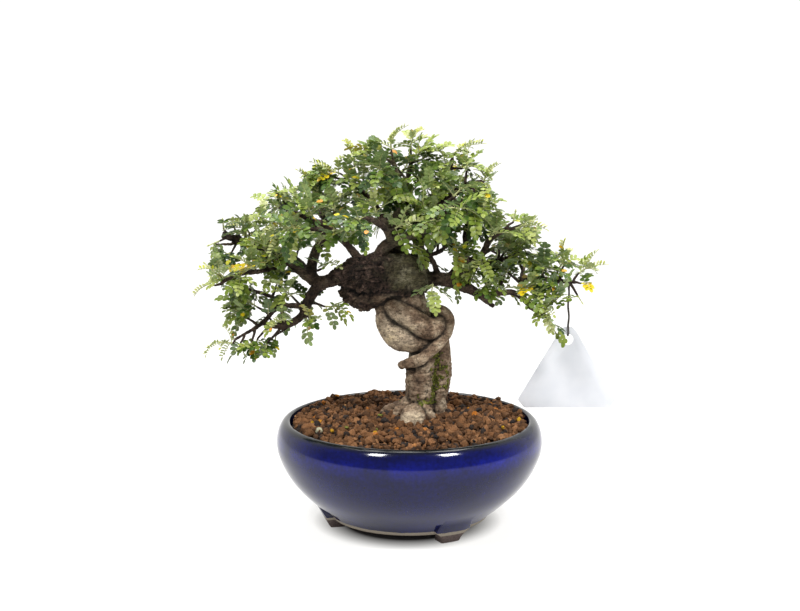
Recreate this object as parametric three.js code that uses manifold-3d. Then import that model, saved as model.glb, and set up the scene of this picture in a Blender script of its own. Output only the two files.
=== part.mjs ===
// A Hawaiian hawthorn (Osteomeles anthyllidifolia) grown as a bonsai in a round glazed pot.
//
// Millimetres, +Z up. The plant is laid out about the pot's own axis, with the pot's feet at z = 0 and
// the viewer on the -Y side, and the whole is moved at the end so that the origin is the middle of the
// model's footprint. The pieces are the pot, its drainage screen, the soil with its surface grit, the
// wood (knotted trunk, dark stump, boughs and twigs, all one growth), a leafy shoot on each twig, and
// a blank swing tag on its wire.
import * as THREE from 'three';
import { mergeVertices } from 'three/addons/utils/BufferGeometryUtils.js';
import Module from 'manifold-3d';

const wasm = await Module();
wasm.setup();

// Driving dimensions of the pot
const POT_RADIUS = 105;
const RIM_HEIGHT = 83.8;
const MOUTH_RADIUS = 94.5;
const FOOT_RING_RADIUS = 63;
const FOOT_HEIGHT = 7;
const POT_SEGMENTS = 32;
const FOOT_AZIMUTHS = [-61, -168, 66];
const DRAIN_RADIUS = 12;
const GAP = 0.35;

// Driving dimensions of the leaves
const BLADE_THICKNESS = 0.8;
const RIB_HALF_WIDTH = 0.55;
const LEAFLET_PAIRS = 3;
const LEAF_HALF_WIDTH = 5.4;
const LEAF_TIP_HALF_WIDTH = 1.6;
const STALK_SHARE = 0.22;
const LEAFLET_SPAN = 0.62;
const LEAFLET_NOTCH = 0.02;
const FIRST_PAIR_WIDTH = 0.8;
const LEAFLET_TAPER = 0.92;
const FOLD_SLOPE = 0.18;
const LEAF_CLEARANCE = 0.8;
const SMALL_LEAF = 16.5;
const SHOOT_RADIUS = 1.05;
const LEAVES_PER_SHOOT = 2;
const GOLDEN_ANGLE = 2.39996;

// How leaves stand on a shoot. Angles are in degrees.
const STEM_BEFORE_LEAVES = 2;
const STEM_PER_LEAF = 0.9;
const FOOT_SPREAD = 78;
const SPREAD_LOST_TO_TIP = 48;
const SPREAD_PLAY = 14;
const TOWARDS_LIGHT = 0.12;
const TWIST_PLAY = 70;
const LEAST_ARCH = 18;
const ARCH_PLAY = 45;
const SHORTEST_LEAF = 0.85;
const LEAF_LENGTH_PLAY = 0.3;
const STEM_TAPER = 0.7;
const ROOT_OVERLAP = 2.5;

const vec = (x, y, z) => new THREE.Vector3(x, y, z);
const degrees = (angle) => (angle * Math.PI) / 180;

// A repeatable draw from 0 to 1 for item i and question k.
function draw(i, k) {
  const wave = Math.sin(i * 12.9898 + k * 78.233) * 43758.5453;
  return wave - Math.floor(wave);
}

// A closed three.js geometry as a solid for joining and cutting.
function solid(geometry) {
  const bare = new THREE.BufferGeometry().setAttribute('position', geometry.getAttribute('position'));
  if (geometry.index) bare.setIndex(geometry.index);
  const merged = mergeVertices(bare, 1e-4);
  const corners = merged.index.array;
  const kept = [];
  for (let i = 0; i < corners.length; i += 3) {
    const [a, b, c] = corners.slice(i, i + 3);
    if (a !== b && b !== c && c !== a) kept.push(a, b, c);
  }
  const made = new wasm.Manifold(
    new wasm.Mesh({
      numProp: 3,
      vertProperties: merged.attributes.position.array,
      triVerts: new Uint32Array(kept),
    }),
  );
  return made;
}

// The biggest body of a solid, without any loose scrap that a cut left.
function mainBody(shape) {
  return shape.decompose().reduce((best, body) => (body.volume() > best.volume() ? body : best));
}

function joined(shapes) {
  return shapes.reduce((all, shape) => all.add(shape));
}

// A solid back as a named mesh.
function named(name, shape, colour, roughness = 0.7, metalness = 0) {
  const { vertProperties, triVerts, numProp } = shape.getMesh();
  const position = new Float32Array((vertProperties.length / numProp) * 3);
  for (let i = 0; i < position.length / 3; i++) {
    position.set(vertProperties.subarray(i * numProp, i * numProp + 3), i * 3);
  }
  const geometry = new THREE.BufferGeometry()
    .setAttribute('position', new THREE.BufferAttribute(position, 3))
    .setIndex(new THREE.BufferAttribute(triVerts, 1));
  geometry.computeVertexNormals();
  const material = new THREE.MeshStandardMaterial({ color: colour, roughness, metalness });
  const mesh = new THREE.Mesh(geometry, material);
  mesh.name = name;
  return mesh;
}

// A solid of revolution about +Z from [radius, height] pairs, listed so that its faces point outwards.
function turned(profile, segments) {
  const points = profile.map(([radius, height]) => new THREE.Vector2(radius, height));
  return solid(new THREE.LatheGeometry(points, segments).rotateX(Math.PI / 2));
}

// A round limb through [x, y, z, radius] stations, each radius grown by grow. It is closed on itself where
// loop is true, and its rings are uneven by the share that rough gives. Its last ring stands square to
// finish, if that is given.
function limb(stations, options = {}) {
  const { sides = 6, rough = 0, seed = 0, grow = 0, loop = false, finish = null } = options;
  const rings = stations.map(([x, y, z, radius]) => ({ centre: vec(x, y, z), radius: radius + grow }));
  const position = [];
  let across = null;
  let previous = null;
  rings.forEach(({ centre, radius }, i) => {
    const last = rings.length - 1;
    const ahead = rings[loop ? (i + 1) % rings.length : Math.min(i + 1, last)].centre;
    const behind = rings[loop ? (i + last) % rings.length : Math.max(i - 1, 0)].centre;
    const along = finish && i === last ? finish : ahead.clone().sub(behind).normalize();
    if (across === null) {
      const isUpright = Math.abs(along.z) > 0.8;
      across = isUpright ? vec(1, 0, 0) : vec(0, 0, 1);
      across.addScaledVector(along, -across.dot(along)).normalize();
    } else {
      across.applyQuaternion(new THREE.Quaternion().setFromUnitVectors(previous, along));
    }
    previous = along;
    const side = along.clone().cross(across);
    for (let j = 0; j < sides; j++) {
      const angle = (2 * Math.PI * j) / sides;
      const uneven = 1 + rough * (2 * draw(seed + i * 7.3, j + 3) - 1);
      const spoke = across.clone().multiplyScalar(Math.cos(angle)).addScaledVector(side, Math.sin(angle));
      position.push(...centre.clone().addScaledVector(spoke, radius * uneven));
    }
  });
  const index = [];
  const ringCount = rings.length;
  for (let i = 0; i < (loop ? ringCount : ringCount - 1); i++) {
    const here = i * sides;
    const next = ((i + 1) % ringCount) * sides;
    for (let j = 0; j < sides; j++) {
      const k = (j + 1) % sides;
      index.push(here + j, here + k, next + k, here + j, next + k, next + j);
    }
  }
  if (!loop) {
    const end = (ringCount - 1) * sides;
    for (let j = 1; j < sides - 1; j++) {
      index.push(0, j + 1, j, end, end + j, end + j + 1);
    }
  }
  const geometry = new THREE.BufferGeometry()
    .setAttribute('position', new THREE.Float32BufferAttribute(position, 3))
    .setIndex(index);
  return solid(geometry);
}

// A rough lump: a sphere's low-polygon form, squashed and set down at a place.
function lump([x, y, z], [rx, ry, rz], detail) {
  return solid(new THREE.IcosahedronGeometry(1, detail).scale(rx, ry, rz).translate(x, y, z));
}

// The pot: one ceramic body with an incurved rim, a drainage hole and three feet.
const FLOOR_HEIGHT = 15;
const POT_OUTSIDE = [
  [DRAIN_RADIUS, FOOT_HEIGHT],
  [FOOT_RING_RADIUS, FOOT_HEIGHT],
  [73.5, 17],
  [85, 27.5],
  [96, 41],
  [102.8, 54],
  [POT_RADIUS, 66],
  [103.2, 76.5],
  [97, RIM_HEIGHT],
];
const POT_INSIDE = [
  [MOUTH_RADIUS, RIM_HEIGHT],
  [95, 79],
  [98.5, 66],
  [95.5, 52],
  [86, 38],
  [52, FLOOR_HEIGHT],
];
function pot() {
  const drainTop = [DRAIN_RADIUS, FLOOR_HEIGHT];
  const bowl = turned([...POT_OUTSIDE, ...POT_INSIDE, drainTop, POT_OUTSIDE[0]], POT_SEGMENTS);
  // A foot's face seen from outside: narrow where it stands and swept out into the bowl. The face leans
  // outwards with the bowl's wall and dies into it at its top.
  const face = new THREE.Shape();
  face.moveTo(-8, 0);
  face.lineTo(8, 0);
  face.quadraticCurveTo(9.5, 7, 14, 10.5);
  face.lineTo(12, 22);
  face.lineTo(-12, 22);
  face.lineTo(-14, 10.5);
  face.quadraticCurveTo(-9.5, 7, -8, 0);
  const footDepth = 13;
  const footOutside = 65;
  const footLean = new THREE.Matrix4().makeShear(0, 0, 0, 0, 0.55, 0);
  const feet = FOOT_AZIMUTHS.map((azimuth) => {
    const slab = { depth: footDepth, bevelEnabled: false, curveSegments: 2 };
    const block = new THREE.ExtrudeGeometry(face, slab);
    block.rotateX(Math.PI / 2).rotateZ(Math.PI / 2).applyMatrix4(footLean);
    block.translate(footOutside - footDepth, 0, 0).rotateZ(degrees(azimuth));
    return solid(block);
  });
  return joined([bowl, ...feet]);
}

// The plastic screen that keeps the soil in over the drainage hole.
const SCREEN_SIZE = 34;
const SCREEN_THICKNESS = 1.2;
const SCREEN_PITCH = 10;
const SCREEN_OPENING = 7;
function drainageScreen() {
  const middle = FLOOR_HEIGHT + GAP + SCREEN_THICKNESS / 2;
  const square = new THREE.BoxGeometry(SCREEN_SIZE, SCREEN_SIZE, SCREEN_THICKNESS);
  let sheet = solid(square.translate(0, 0, middle));
  for (const row of [-1, 0, 1]) {
    for (const column of [-1, 0, 1]) {
      const opening = new THREE.BoxGeometry(SCREEN_OPENING, SCREEN_OPENING, 3 * SCREEN_THICKNESS);
      opening.translate(column * SCREEN_PITCH, row * SCREEN_PITCH, middle);
      sheet = sheet.subtract(solid(opening));
    }
  }
  return sheet;
}

// The wood. Every station is [x, y, z, radius], measured from the pot's axis.
// The knotted part of the trunk, pale and smooth, from the root plug in the soil to the stump.
const KNOT = {
  front_stem: [[9, 0, 58, 9], [9, 0, 80, 12.5], [8.5, 0, 92, 11.5], [8, -2, 106, 11], [8, -2, 120, 11],
    [10, -1, 133, 11], [14, 2, 147, 10]],
  right_stem: [[20, 4, 62, 6], [21, 4, 84, 9], [21.5, 4, 97, 7.5], [24, 4, 110, 8], [25, 4, 124, 8.5],
    [25, 3, 138, 7.5], [24, 2, 150, 7]],
  band: [[3, 8, 126, 3], [-4.5, 2, 126, 2.6], [-5.5, -6, 128, 3.4], [2, -12.5, 131.5, 4.4],
    [11, -14.5, 136, 4.6], [19, -12, 142.5, 4.6], [26, -8, 149.5, 4.8], [30, -2, 157, 5],
    [29.5, 3, 165, 5.2], [23, 5, 169, 5], [16, 6, 166, 5]],
  upper_roll: [[-15, 0, 178, 5.5], [-12.5, -6, 174, 7.6], [-5, -10, 169, 8.6], [4.5, -12, 163.5, 8.8],
    [13, -11, 158.5, 8.7], [20, -6, 157, 7.8], [24.5, 2, 160, 6.5]],
  left_bulb: [[-14, 1, 181, 4.5], [-20, -1, 174, 6], [-19.5, -3, 166, 7.4], [-14, -4, 157.5, 11.2],
    [-6, -5, 152, 13.2], [4, -5, 148, 10.8], [13, -4, 146, 8], [20, 0, 147, 6]],
  core: [[14, 3, 138, 10], [10, 4, 150, 12], [4, 4, 164, 14], [-1, 3, 178, 14], [-4, 2, 190, 13]],
  left_root: [[2, -2, 99, 6], [-5, -6, 95, 4.6], [-11, -10, 89.5, 3.4], [-15, -13, 84, 2.4],
    [-18, -15, 78, 1.6]],
  back_root: [[2, 3, 97, 5.5], [-8, 4, 93, 4.4], [-17, 5, 89, 3.8], [-23, 6, 83, 2.8], [-26, 7, 77, 1.8]],
  toe: [[6, -8, 94, 7], [13, -14, 92, 5.4], [19, -17, 86, 3.6]],
};
// The old stump above it, dark and fissured.
const STUMP = {
  stump_body: [[-63, 2, 194, 5], [-54, 1, 197, 9], [-43, 0, 198.5, 14], [-28, 0, 199, 17],
    [-12, 0, 199, 17.5], [1, 0, 197, 16], [11, 1, 193, 11], [15, 1, 192, 6.5]],
  stump_heel: [[-51, 2, 189, 6], [-46, 1, 183.5, 8.5], [-39, 0, 179, 9.5], [-29, 0, 183, 11],
    [-14, 0, 190, 12]],
};
const KNOB = { centre: [2.3, -22, 88.5], radii: [10.4, 13.5, 11] };
const TWIG_ROOT_RADIUS = 1.6;
const TWIG_END_RADIUS = 1.1;
// The boughs. The first station of each lies inside what it grew from.
const BOUGHS = {
  left_main: [[-58, 2, 195, 6], [-68, 4, 192, 5.2], [-78, 7, 195, 4.6], [-87, 11, 201, 4],
    [-96, 15, 207, 3.6], [-108, 19, 212, 3.2], [-120, 22, 218, 2.8], [-132, 24, 222, 2.7],
    [-141, 25, 224.5, 3.1], [-148, 26, 226.5, 3.2]],
  left_low: [[-64, 2, 194, 5], [-72, 0, 188, 4.8], [-78, -3, 180, 4.4], [-81, -5, 173, 4],
    [-84, -6, 167, 3.4], [-91, -7, 162, 3], [-99, -8, 159.5, 2.8], [-107, -9, 160, 2.4],
    [-114, -10, 162, 2]],
  left_cross: [[-81, -5, 174, 2.6], [-92, -2, 174.5, 2.2], [-102, 2, 173, 2.4], [-108, -2, 168, 2],
    [-114, -8, 162, 1.9], [-120, -11, 158, 1.6], [-128, -13, 154, 1.4], [-135, -14, 150, 1.2]],
  left_strut: [[-101, 1, 172, 1.7], [-98.5, -4, 166, 1.6], [-98, -8, 160, 1.7]],
  left_fan: [[-102, 2, 173, 2], [-106, 6, 178, 1.8], [-113, 11, 181, 1.6], [-122, 15, 183, 1.5],
    [-130, 18, 185, 1.3]],
  left_spike: [[-132, 24, 221, 1.6], [-142, 22, 219.5, 1.3], [-153, 20, 220, 0.9]],
  left_mid: [[-96, 15, 206, 2.6], [-106, 6, 203, 2.2], [-118, -4, 201.5, 2], [-130, -12, 201, 1.8],
    [-139, -17, 198, 1.5], [-147, -20, 193, 1.2]],
  left_riser: [[-74, 5, 191, 5], [-77, 12, 200, 4.6], [-75, 18, 211, 4.2], [-70, 23, 221, 3.6],
    [-65, 26, 230, 3.2], [-60, 28, 239, 2.8], [-58, 28, 250, 2.2], [-62, 26, 261, 1.8]],
  left_arm: [[-38, 4, 208, 4], [-46, 2, 219, 3.2], [-55, -3, 230, 3], [-64, -8, 238, 2.7],
    [-75, -13, 243, 2.3], [-86, -17, 248, 2], [-94, -20, 250, 1.6]],
  crown_left: [[-16, 5, 210, 4.5], [-15, 9, 226, 3.8], [-20, 14, 240, 3.2], [-28, 19, 252, 2.7],
    [-38, 23, 262, 2.2], [-47, 25, 270, 1.8]],
  crown_mid: [[-8, 6, 210, 4.5], [-8, 8, 226, 4], [-10, 9, 240, 3.6], [-8, 6, 254, 3.2], [-8, 2, 266, 2.7],
    [-10, -3, 278, 2.2], [-13, -8, 289, 1.7]],
  crown_right: [[4, 5, 208, 4.5], [6, 6, 222, 4], [2, 8, 236, 3.6], [-2, 12, 250, 3.2], [-3, 16, 264, 2.7],
    [0, 19, 278, 2.1], [2, 21, 290, 1.6]],
  cross_limb: [[-26, 0, 210, 5], [-18, -4, 222, 5], [-6, -6, 228, 4.6], [6, -7, 233, 4.3], [18, -9, 240, 4],
    [28, -12, 247, 3.5], [36, -15, 254, 2.8], [41, -17, 260, 2.2]],
  right_riser: [[9, 4, 205, 4], [8, 5, 222, 3.8], [9, 7, 236, 4], [12, 10, 247, 4.2], [20, 14, 258, 3.6],
    [26, 18, 268, 3], [31, 22, 278, 2.5], [34, 25, 287, 1.9]],
  right_reach: [[12, 9, 246, 4], [21, 2, 252, 4], [30, -6, 259, 3.6], [38, -12, 266, 3.2],
    [47, -16, 269.5, 2.6], [55, -20, 273, 2]],
  right_lean: [[12, 4, 207, 3], [16, 6, 217, 2.8], [24, 9, 228, 2.5], [31, 13, 237, 2.2],
    [38, 16, 243, 1.8]],
  right_wisp: [[15, 5, 214, 2.2], [22, 0, 216, 1.8], [29, -5, 222, 1.6], [35, -9, 226, 1.3]],
  right_tie: [[14, 5, 214, 2.2], [19, 3, 207, 2.2], [23, 1, 197, 2.4]],
  right_main: [[8, 2, 193, 8], [20, 1, 195, 6], [31, 0, 194, 5.6], [41, -1, 190, 5], [50, -2, 186, 4],
    [57, -3, 181.5, 3.2], [62, -3, 177, 2.4], [66, -4, 174, 1.7]],
  right_up: [[38, -1, 192, 4], [42, 4, 203, 3.5], [44, 9, 214, 3], [44, 14, 226, 2.6], [46, 18, 238, 2.1],
    [49, 21, 246, 1.6]],
  right_far: [[44, 1, 192, 3.4], [51, -2, 206, 3], [57, -7, 217, 2.7], [62, -11, 228, 2.4],
    [70, -15, 234, 2.2], [76, -18, 237, 1.8]],
  right_arch: [[50, -2, 186, 3], [60, -5, 184, 2.6], [69, -9, 185.5, 2.6], [79, -12, 186.5, 2.5],
    [87, -13, 183, 2.5], [93, -14, 176, 2.2], [101, -15, 171, 1.9], [107, -16, 167, 1.5]],
  right_post: [[87, -13, 184, 2.3], [87, -8, 192, 2.1], [88, -1, 200, 2], [90, 6, 206, 1.6]],
  right_out: [[87, -6.5, 194, 2], [97, -2, 197, 2], [108, 1, 195, 1.9], [117, 2, 193, 2],
    [124, 1, 193, 1.7], [130, 0, 192, 1.4]],
  right_tip: [[117, 2, 193, 1.8], [119, 6, 202, 1.5]],
  right_mid: [[43, 6, 207, 2.4], [52, 10, 206, 2.2], [62, 14, 206, 2.1], [73, 17, 208, 1.9],
    [84, 19, 211, 1.6], [92, 20, 213, 1.2]],
  front_left: [[-50, -1, 225, 2.8], [-58, -18, 232, 2.4], [-68, -34, 238, 2.1], [-78, -46, 240, 1.6]],
  front_mid: [[-14, -5, 224, 3.2], [-18, -20, 236, 2.7], [-26, -36, 245, 2.2], [-33, -48, 249, 1.6]],
  front_right: [[8, -7, 234, 3], [16, -22, 244, 2.5], [22, -37, 253, 2], [27, -48, 257, 1.5]],
  back_mid: [[-6, 8, 226, 3.6], [-6, 26, 238, 3], [-8, 46, 248, 2.4], [-12, 62, 254, 1.7]],
  back_right: [[9, 6, 227, 3.4], [20, 24, 236, 2.8], [34, 42, 244, 2.2], [45, 57, 248, 1.6]],
  back_left: [[-65, 26, 231, 2.8], [-68, 38, 238, 2.4], [-76, 52, 243, 1.9], [-84, 63, 244, 1.5]],
  low_right: [[30, 2, 196, 3.4], [42, 18, 203, 2.8], [56, 34, 209, 2.2], [68, 46, 213, 1.6]],
  low_left: [[-78, 8, 196, 3.2], [-86, 24, 204, 2.7], [-96, 40, 208, 2.1], [-106, 52, 210, 1.6]],
};

// The leafy shoots. Each row is the bough that carries it, the place on that bough counted in its
// stations, the end of its woody twig, the way the shoot grows on from there, the number of leaves on
// the living shoot and how long its leaves are.
const SHOOTS = {
  far_left: ['left_mid', 5, [-149, -21, 193.5], [-1, -0.1, 0.1], 5, 14],
  left_flag: ['left_mid', 4, [-142, -21, 199], [-0.6, -0.3, 0.8], 6, 15],
  left_plume: ['left_main', 6.5, [-126, 18, 229], [-0.5, -0.2, 0.8], 7, 16],
  left_crest: ['left_main', 5.3, [-112, 22, 233], [-0.4, 0.1, 1], 8, 15],
  arm_end: ['left_arm', 6, [-99, -21, 253], [-0.8, -0.1, 0.6], 7, 16],
  riser_side: ['left_riser', 7, [-70, 23, 266], [-0.9, -0.3, 0.4], 7, 19],
  crest_left: ['crown_left', 5, [-54, 24, 275], [-0.8, -0.1, 0.3], 8, 16],
  crest_peak: ['crown_left', 5, [-43, 23, 284], [-0.05, 0, 1], 6, 16],
  crest_front: ['crown_left', 4, [-36, 10, 273], [0.1, -0.6, 0.7], 9, 22],
  mid_front: ['crown_mid', 5, [-20, -14, 278], [-0.3, -0.7, 0.5], 9, 22],
  mid_peak: ['crown_mid', 6, [-14, -10, 296], [-0.1, 0, 1], 6, 17],
  top_peak: ['crown_right', 6, [1, 20, 297], [0.2, -0.1, 1], 5, 13],
  top_right: ['crown_right', 5.5, [10, 18, 287], [0.8, 0, 0.6], 7, 18],
  ridge_front: ['crown_right', 5, [8, 7, 272], [0.6, -0.6, 0.2], 8, 21],
  riser_leap: ['right_riser', 7, [34, 24, 290], [0.6, -0.1, 0.6], 6, 18],
  riser_flank: ['right_riser', 6, [41, 24, 279], [0.9, 0.2, 0.4], 7, 16],
  reach_end: ['right_reach', 5, [56, -21, 273], [0.3, 0, 1], 5, 11],
  reach_under: ['right_reach', 4, [50, -24, 261], [0.5, -0.5, -0.2], 8, 17],
  limb_end: ['cross_limb', 6.5, [44, -23, 250], [0.4, -0.7, 0.1], 9, 21],
  up_end: ['right_up', 5, [53, 22, 246], [0.6, 0.1, 0.3], 8, 16],
  far_end: ['right_far', 4.5, [80, -19, 237], [1, 0, 0.3], 8, 18],
  mid_end: ['right_mid', 4.6, [96, 20, 212], [1, -0.2, -0.05], 8, 17],
  mid_near: ['right_mid', 3, [74, 10, 214], [0.5, -0.5, 0.4], 9, 21],
  tip_top: ['right_tip', 1, [121, 6, 205], [0.1, 0.1, 1], 6, 13],
  tip_right: ['right_out', 4.6, [132, 3, 199], [0.9, 0.2, 0.6], 8, 14],
  out_near: ['right_out', 1.5, [103, -8, 202], [0.3, -0.7, 0.4], 9, 21],
  arch_drop: ['right_arch', 6, [102, -22, 178], [0.3, -0.6, -0.1], 8, 18],
  arch_end: ['right_arch', 7, [110, -17, 163], [0.3, -0.2, -0.8], 6, 12],
  post_near: ['right_post', 1, [91, -18, 192], [0.1, -0.8, 0.2], 8, 20],
  main_near: ['right_main', 5, [58, -12, 190], [0.3, -0.8, 0.5], 8, 19],
  up_near: ['right_up', 1.5, [39, -8, 209], [-0.3, -0.8, 0.3], 8, 20],
  trunk_spray: ['right_main', 1, [18, -13, 194], [-0.15, -0.5, -0.9], 5, 18],
  left_inner: ['left_riser', 1, [-67, 0, 204], [0.5, -0.5, 0.5], 7, 19],
  arm_near: ['left_arm', 5, [-88, -28, 238], [-0.4, -0.8, 0.1], 9, 23],
  main_near_left: ['left_main', 4.5, [-101, 4, 213], [-0.2, -0.9, 0.1], 9, 21],
  mid_left_near: ['left_mid', 2, [-119, -13, 205], [-0.2, -0.8, 0.3], 7, 18],
  low_left_near: ['left_low', 3, [-91, -14, 184], [-0.4, -0.6, 0.5], 8, 18],
  fan_end: ['left_fan', 4, [-132, 18, 186], [-1, 0.1, 0.1], 7, 17],
  fan_under: ['left_fan', 3, [-125, 10, 176], [-0.6, -0.3, -0.5], 7, 19],
  cross_end: ['left_cross', 7, [-137, -14, 147], [-0.9, -0.1, 0.1], 8, 17],
  low_drop: ['left_low', 4, [-80, -12, 167], [0.1, -0.2, -1], 6, 14],
  low_inner: ['left_low', 2.5, [-66, -9, 175], [1, -0.1, 0], 8, 17],
  front_left_end: ['front_left', 3, [-82, -50, 241], [-0.8, -0.5, 0.1], 9, 22],
  front_mid_end: ['front_mid', 3, [-36, -53, 249], [-0.4, -0.8, -0.1], 9, 22],
  front_right_end: ['front_right', 3, [30, -53, 257], [0.5, -0.8, 0], 9, 22],
  back_mid_end: ['back_mid', 3, [-14, 68, 256], [-0.2, 0.9, 0.2], 9, 22],
  back_right_end: ['back_right', 3, [49, 62, 249], [0.6, 0.7, 0.1], 9, 22],
  back_left_end: ['back_left', 3, [-88, 68, 245], [-0.6, 0.7, 0.1], 9, 22],
  low_right_end: ['low_right', 3, [73, 50, 214], [0.8, 0.6, 0.1], 9, 22],
  low_left_end: ['low_left', 3, [-110, 56, 211], [-0.7, 0.6, 0.1], 9, 22],
};

// A point on a bough's centreline, counted in stations: 2.5 lies midway from the third to the fourth.
function onBough(name, place) {
  const stations = BOUGHS[name];
  const before = Math.min(Math.floor(place), stations.length - 2);
  const [from, to] = [vec(...stations[before]), vec(...stations[before + 1])];
  return from.lerp(to, place - before);
}

// A shoot's own frame: where it starts, which way it grows and how long it is.
function shootOf(name) {
  const [bough, place, end, aim, leaves, leafLength] = SHOOTS[name];
  const insideEnd = BOUGHS[bough].length - 1.3;
  const root = onBough(bough, Math.min(place, insideEnd));
  const length = STEM_BEFORE_LEAVES + STEM_PER_LEAF * leaves;
  return { root, base: vec(...end), along: vec(...aim).normalize(), leaves, leafLength, length };
}

function twig(name) {
  const { root, base, along } = shootOf(name);
  return limb([[...root, TWIG_ROOT_RADIUS], [...base, TWIG_END_RADIUS]], { sides: 3, finish: along });
}

// Every other station of a bough and its two ends, which is enough for its faceted form.
function coarse(stations) {
  return stations.filter((_, i) => i % 2 === 0 || i === stations.length - 1);
}

function buriedWood(grow) {
  const names = ['front_stem', 'right_stem', 'left_root', 'back_root', 'toe'];
  const limbs = names.map((name, i) => limb(KNOT[name], { sides: i < 2 ? 8 : 6, grow }));
  const [rx, ry, rz] = KNOB.radii;
  return joined([...limbs, lump(KNOB.centre, [rx + grow, ry + grow, rz + grow], 1)]);
}

function wood() {
  const strands = ['band', 'upper_roll', 'left_bulb', 'core'];
  const knot = strands.map((name) => limb(KNOT[name], { sides: name === 'band' ? 6 : 8 }));
  const stump = Object.values(STUMP).map((stations, i) => {
    return limb(stations, { sides: 9, rough: 0.09, seed: 5 * i + 1 });
  });
  const boughs = Object.values(BOUGHS).map((stations) => {
    const isThick = stations[0][3] > 4;
    return limb(coarse(stations), { sides: isThick ? 5 : 4 });
  });
  const twigs = Object.keys(SHOOTS).map(twig);
  return joined([buriedWood(0), ...knot, ...stump, ...boughs, ...twigs]);
}

// A pinnate leaf as one thin arched blade, its leaflets cut in to the rib.
// s runs along the rib and w across it. The same triangles are laid on the upper and lower face.
// The blade's root is a point inside the stem, and spare makes it that much fatter all over.
function leafBlade({ base, along, up, length, arch }, spare = 0) {
  const across = up.clone().cross(along).normalize();
  const half = (BLADE_THICKNESS + spare) / 2;
  const pairs = length < SMALL_LEAF ? LEAFLET_PAIRS - 1 : LEAFLET_PAIRS;
  const stalk = length * STALK_SHARE;
  const step = (length - stalk) / (pairs + 1);
  const outline = [];
  const add = (s, w) => outline.push([s, w + (Math.sign(w) * spare) / 2]) - 1;
  const faces = [];
  const root = add(0, 0);
  let left = add(stalk, RIB_HALF_WIDTH);
  let right = add(stalk, -RIB_HALF_WIDTH);
  faces.push([root, right, left]);
  const rim = { left: [left], right: [root, right] };
  for (let pair = 1; pair <= pairs; pair++) {
    const s = stalk + pair * step;
    const [near, far] = [s - step * LEAFLET_SPAN, s - step * LEAFLET_NOTCH];
    const [nextLeft, nextRight] = [add(s, RIB_HALF_WIDTH), add(s, -RIB_HALF_WIDTH)];
    faces.push([left, right, nextRight], [left, nextRight, nextLeft]);
    if (pair === 1) {
      const width = LEAF_HALF_WIDTH * FIRST_PAIR_WIDTH;
      const [a, c] = [add(far, width), add(far, -width)];
      faces.push([a, left, nextLeft], [right, c, nextRight]);
      rim.left.push(a);
      rim.right.push(c);
    } else {
      const width = LEAF_HALF_WIDTH * LEAFLET_TAPER;
      const [a, b] = [add(near, LEAF_HALF_WIDTH), add(far, width)];
      const [c, d] = [add(near, -LEAF_HALF_WIDTH), add(far, -width)];
      faces.push([a, left, nextLeft], [a, nextLeft, b], [right, c, d], [right, d, nextRight]);
      rim.left.push(a, b);
      rim.right.push(c, d);
    }
    rim.left.push(nextLeft);
    rim.right.push(nextRight);
    [left, right] = [nextLeft, nextRight];
  }
  const [tipLeft, tipRight] = [add(length, LEAF_TIP_HALF_WIDTH), add(length, -LEAF_TIP_HALF_WIDTH)];
  faces.push([left, right, tipRight], [left, tipRight, tipLeft]);
  const edge = [...rim.right, tipRight, tipLeft, ...rim.left.reverse()];
  const bend = arch / length;
  const place = ([s, w], side) => {
    const turn = s * bend;
    const reach = Math.sin(turn) / bend;
    const drop = (1 - Math.cos(turn)) / bend;
    const normal = up.clone().multiplyScalar(Math.cos(turn)).addScaledVector(along, Math.sin(turn));
    const fold = side * half + Math.abs(w) * FOLD_SLOPE;
    return base.clone().addScaledVector(along, reach).addScaledVector(up, -drop).addScaledVector(across, w)
      .addScaledVector(normal, fold);
  };
  const count = outline.length;
  const position = [...outline.map((p) => place(p, 1)), ...outline.map((p) => place(p, -1))];
  const index = [];
  for (const [a, b, c] of faces) index.push(a, b, c, a + count, c + count, b + count);
  edge.forEach((a, i) => {
    const b = edge[(i + 1) % edge.length];
    index.push(b, a, a + count, b, a + count, b + count);
  });
  const geometry = new THREE.BufferGeometry()
    .setAttribute('position', new THREE.Float32BufferAttribute(position.flatMap((p) => [...p]), 3))
    .setIndex(index);
  return solid(geometry);
}

// Leaf k of a shoot: leaves follow a spiral, wide at the foot of the shoot and closing towards its tip.
function leafOf(shootIndex, shoot, k) {
  const { base, along, leaves, leafLength, length } = shoot;
  const share = (k + 0.7) / leaves;
  const side = Math.abs(along.z) > 0.9 ? vec(1, 0, 0) : vec(0, 0, 1).cross(along).normalize();
  const top = along.clone().cross(side).normalize();
  const turn = GOLDEN_ANGLE * k + 2 * Math.PI * draw(shootIndex, 1);
  const play = SPREAD_PLAY * (draw(shootIndex, 40 + k) - 0.5);
  const spread = degrees(FOOT_SPREAD - SPREAD_LOST_TO_TIP * share + play);
  const out = side.clone().multiplyScalar(Math.cos(turn)).addScaledVector(top, Math.sin(turn));
  const way = along.clone().multiplyScalar(Math.cos(spread)).addScaledVector(out, Math.sin(spread));
  way.z += TOWARDS_LIGHT;
  way.normalize();
  const up = Math.abs(way.z) > 0.93 ? along.clone().negate() : vec(0, 0, 1);
  up.addScaledVector(way, -up.dot(way)).normalize();
  up.applyAxisAngle(way, degrees(TWIST_PLAY) * (draw(shootIndex, 60 + k) - 0.5));
  return {
    base: base.clone().addScaledVector(along, length * share),
    along: way,
    up,
    length: leafLength * (SHORTEST_LEAF + LEAF_LENGTH_PLAY * draw(shootIndex, 20 + k)),
    arch: degrees(LEAST_ARCH + ARCH_PLAY * draw(shootIndex, 80 + k)),
  };
}

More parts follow.
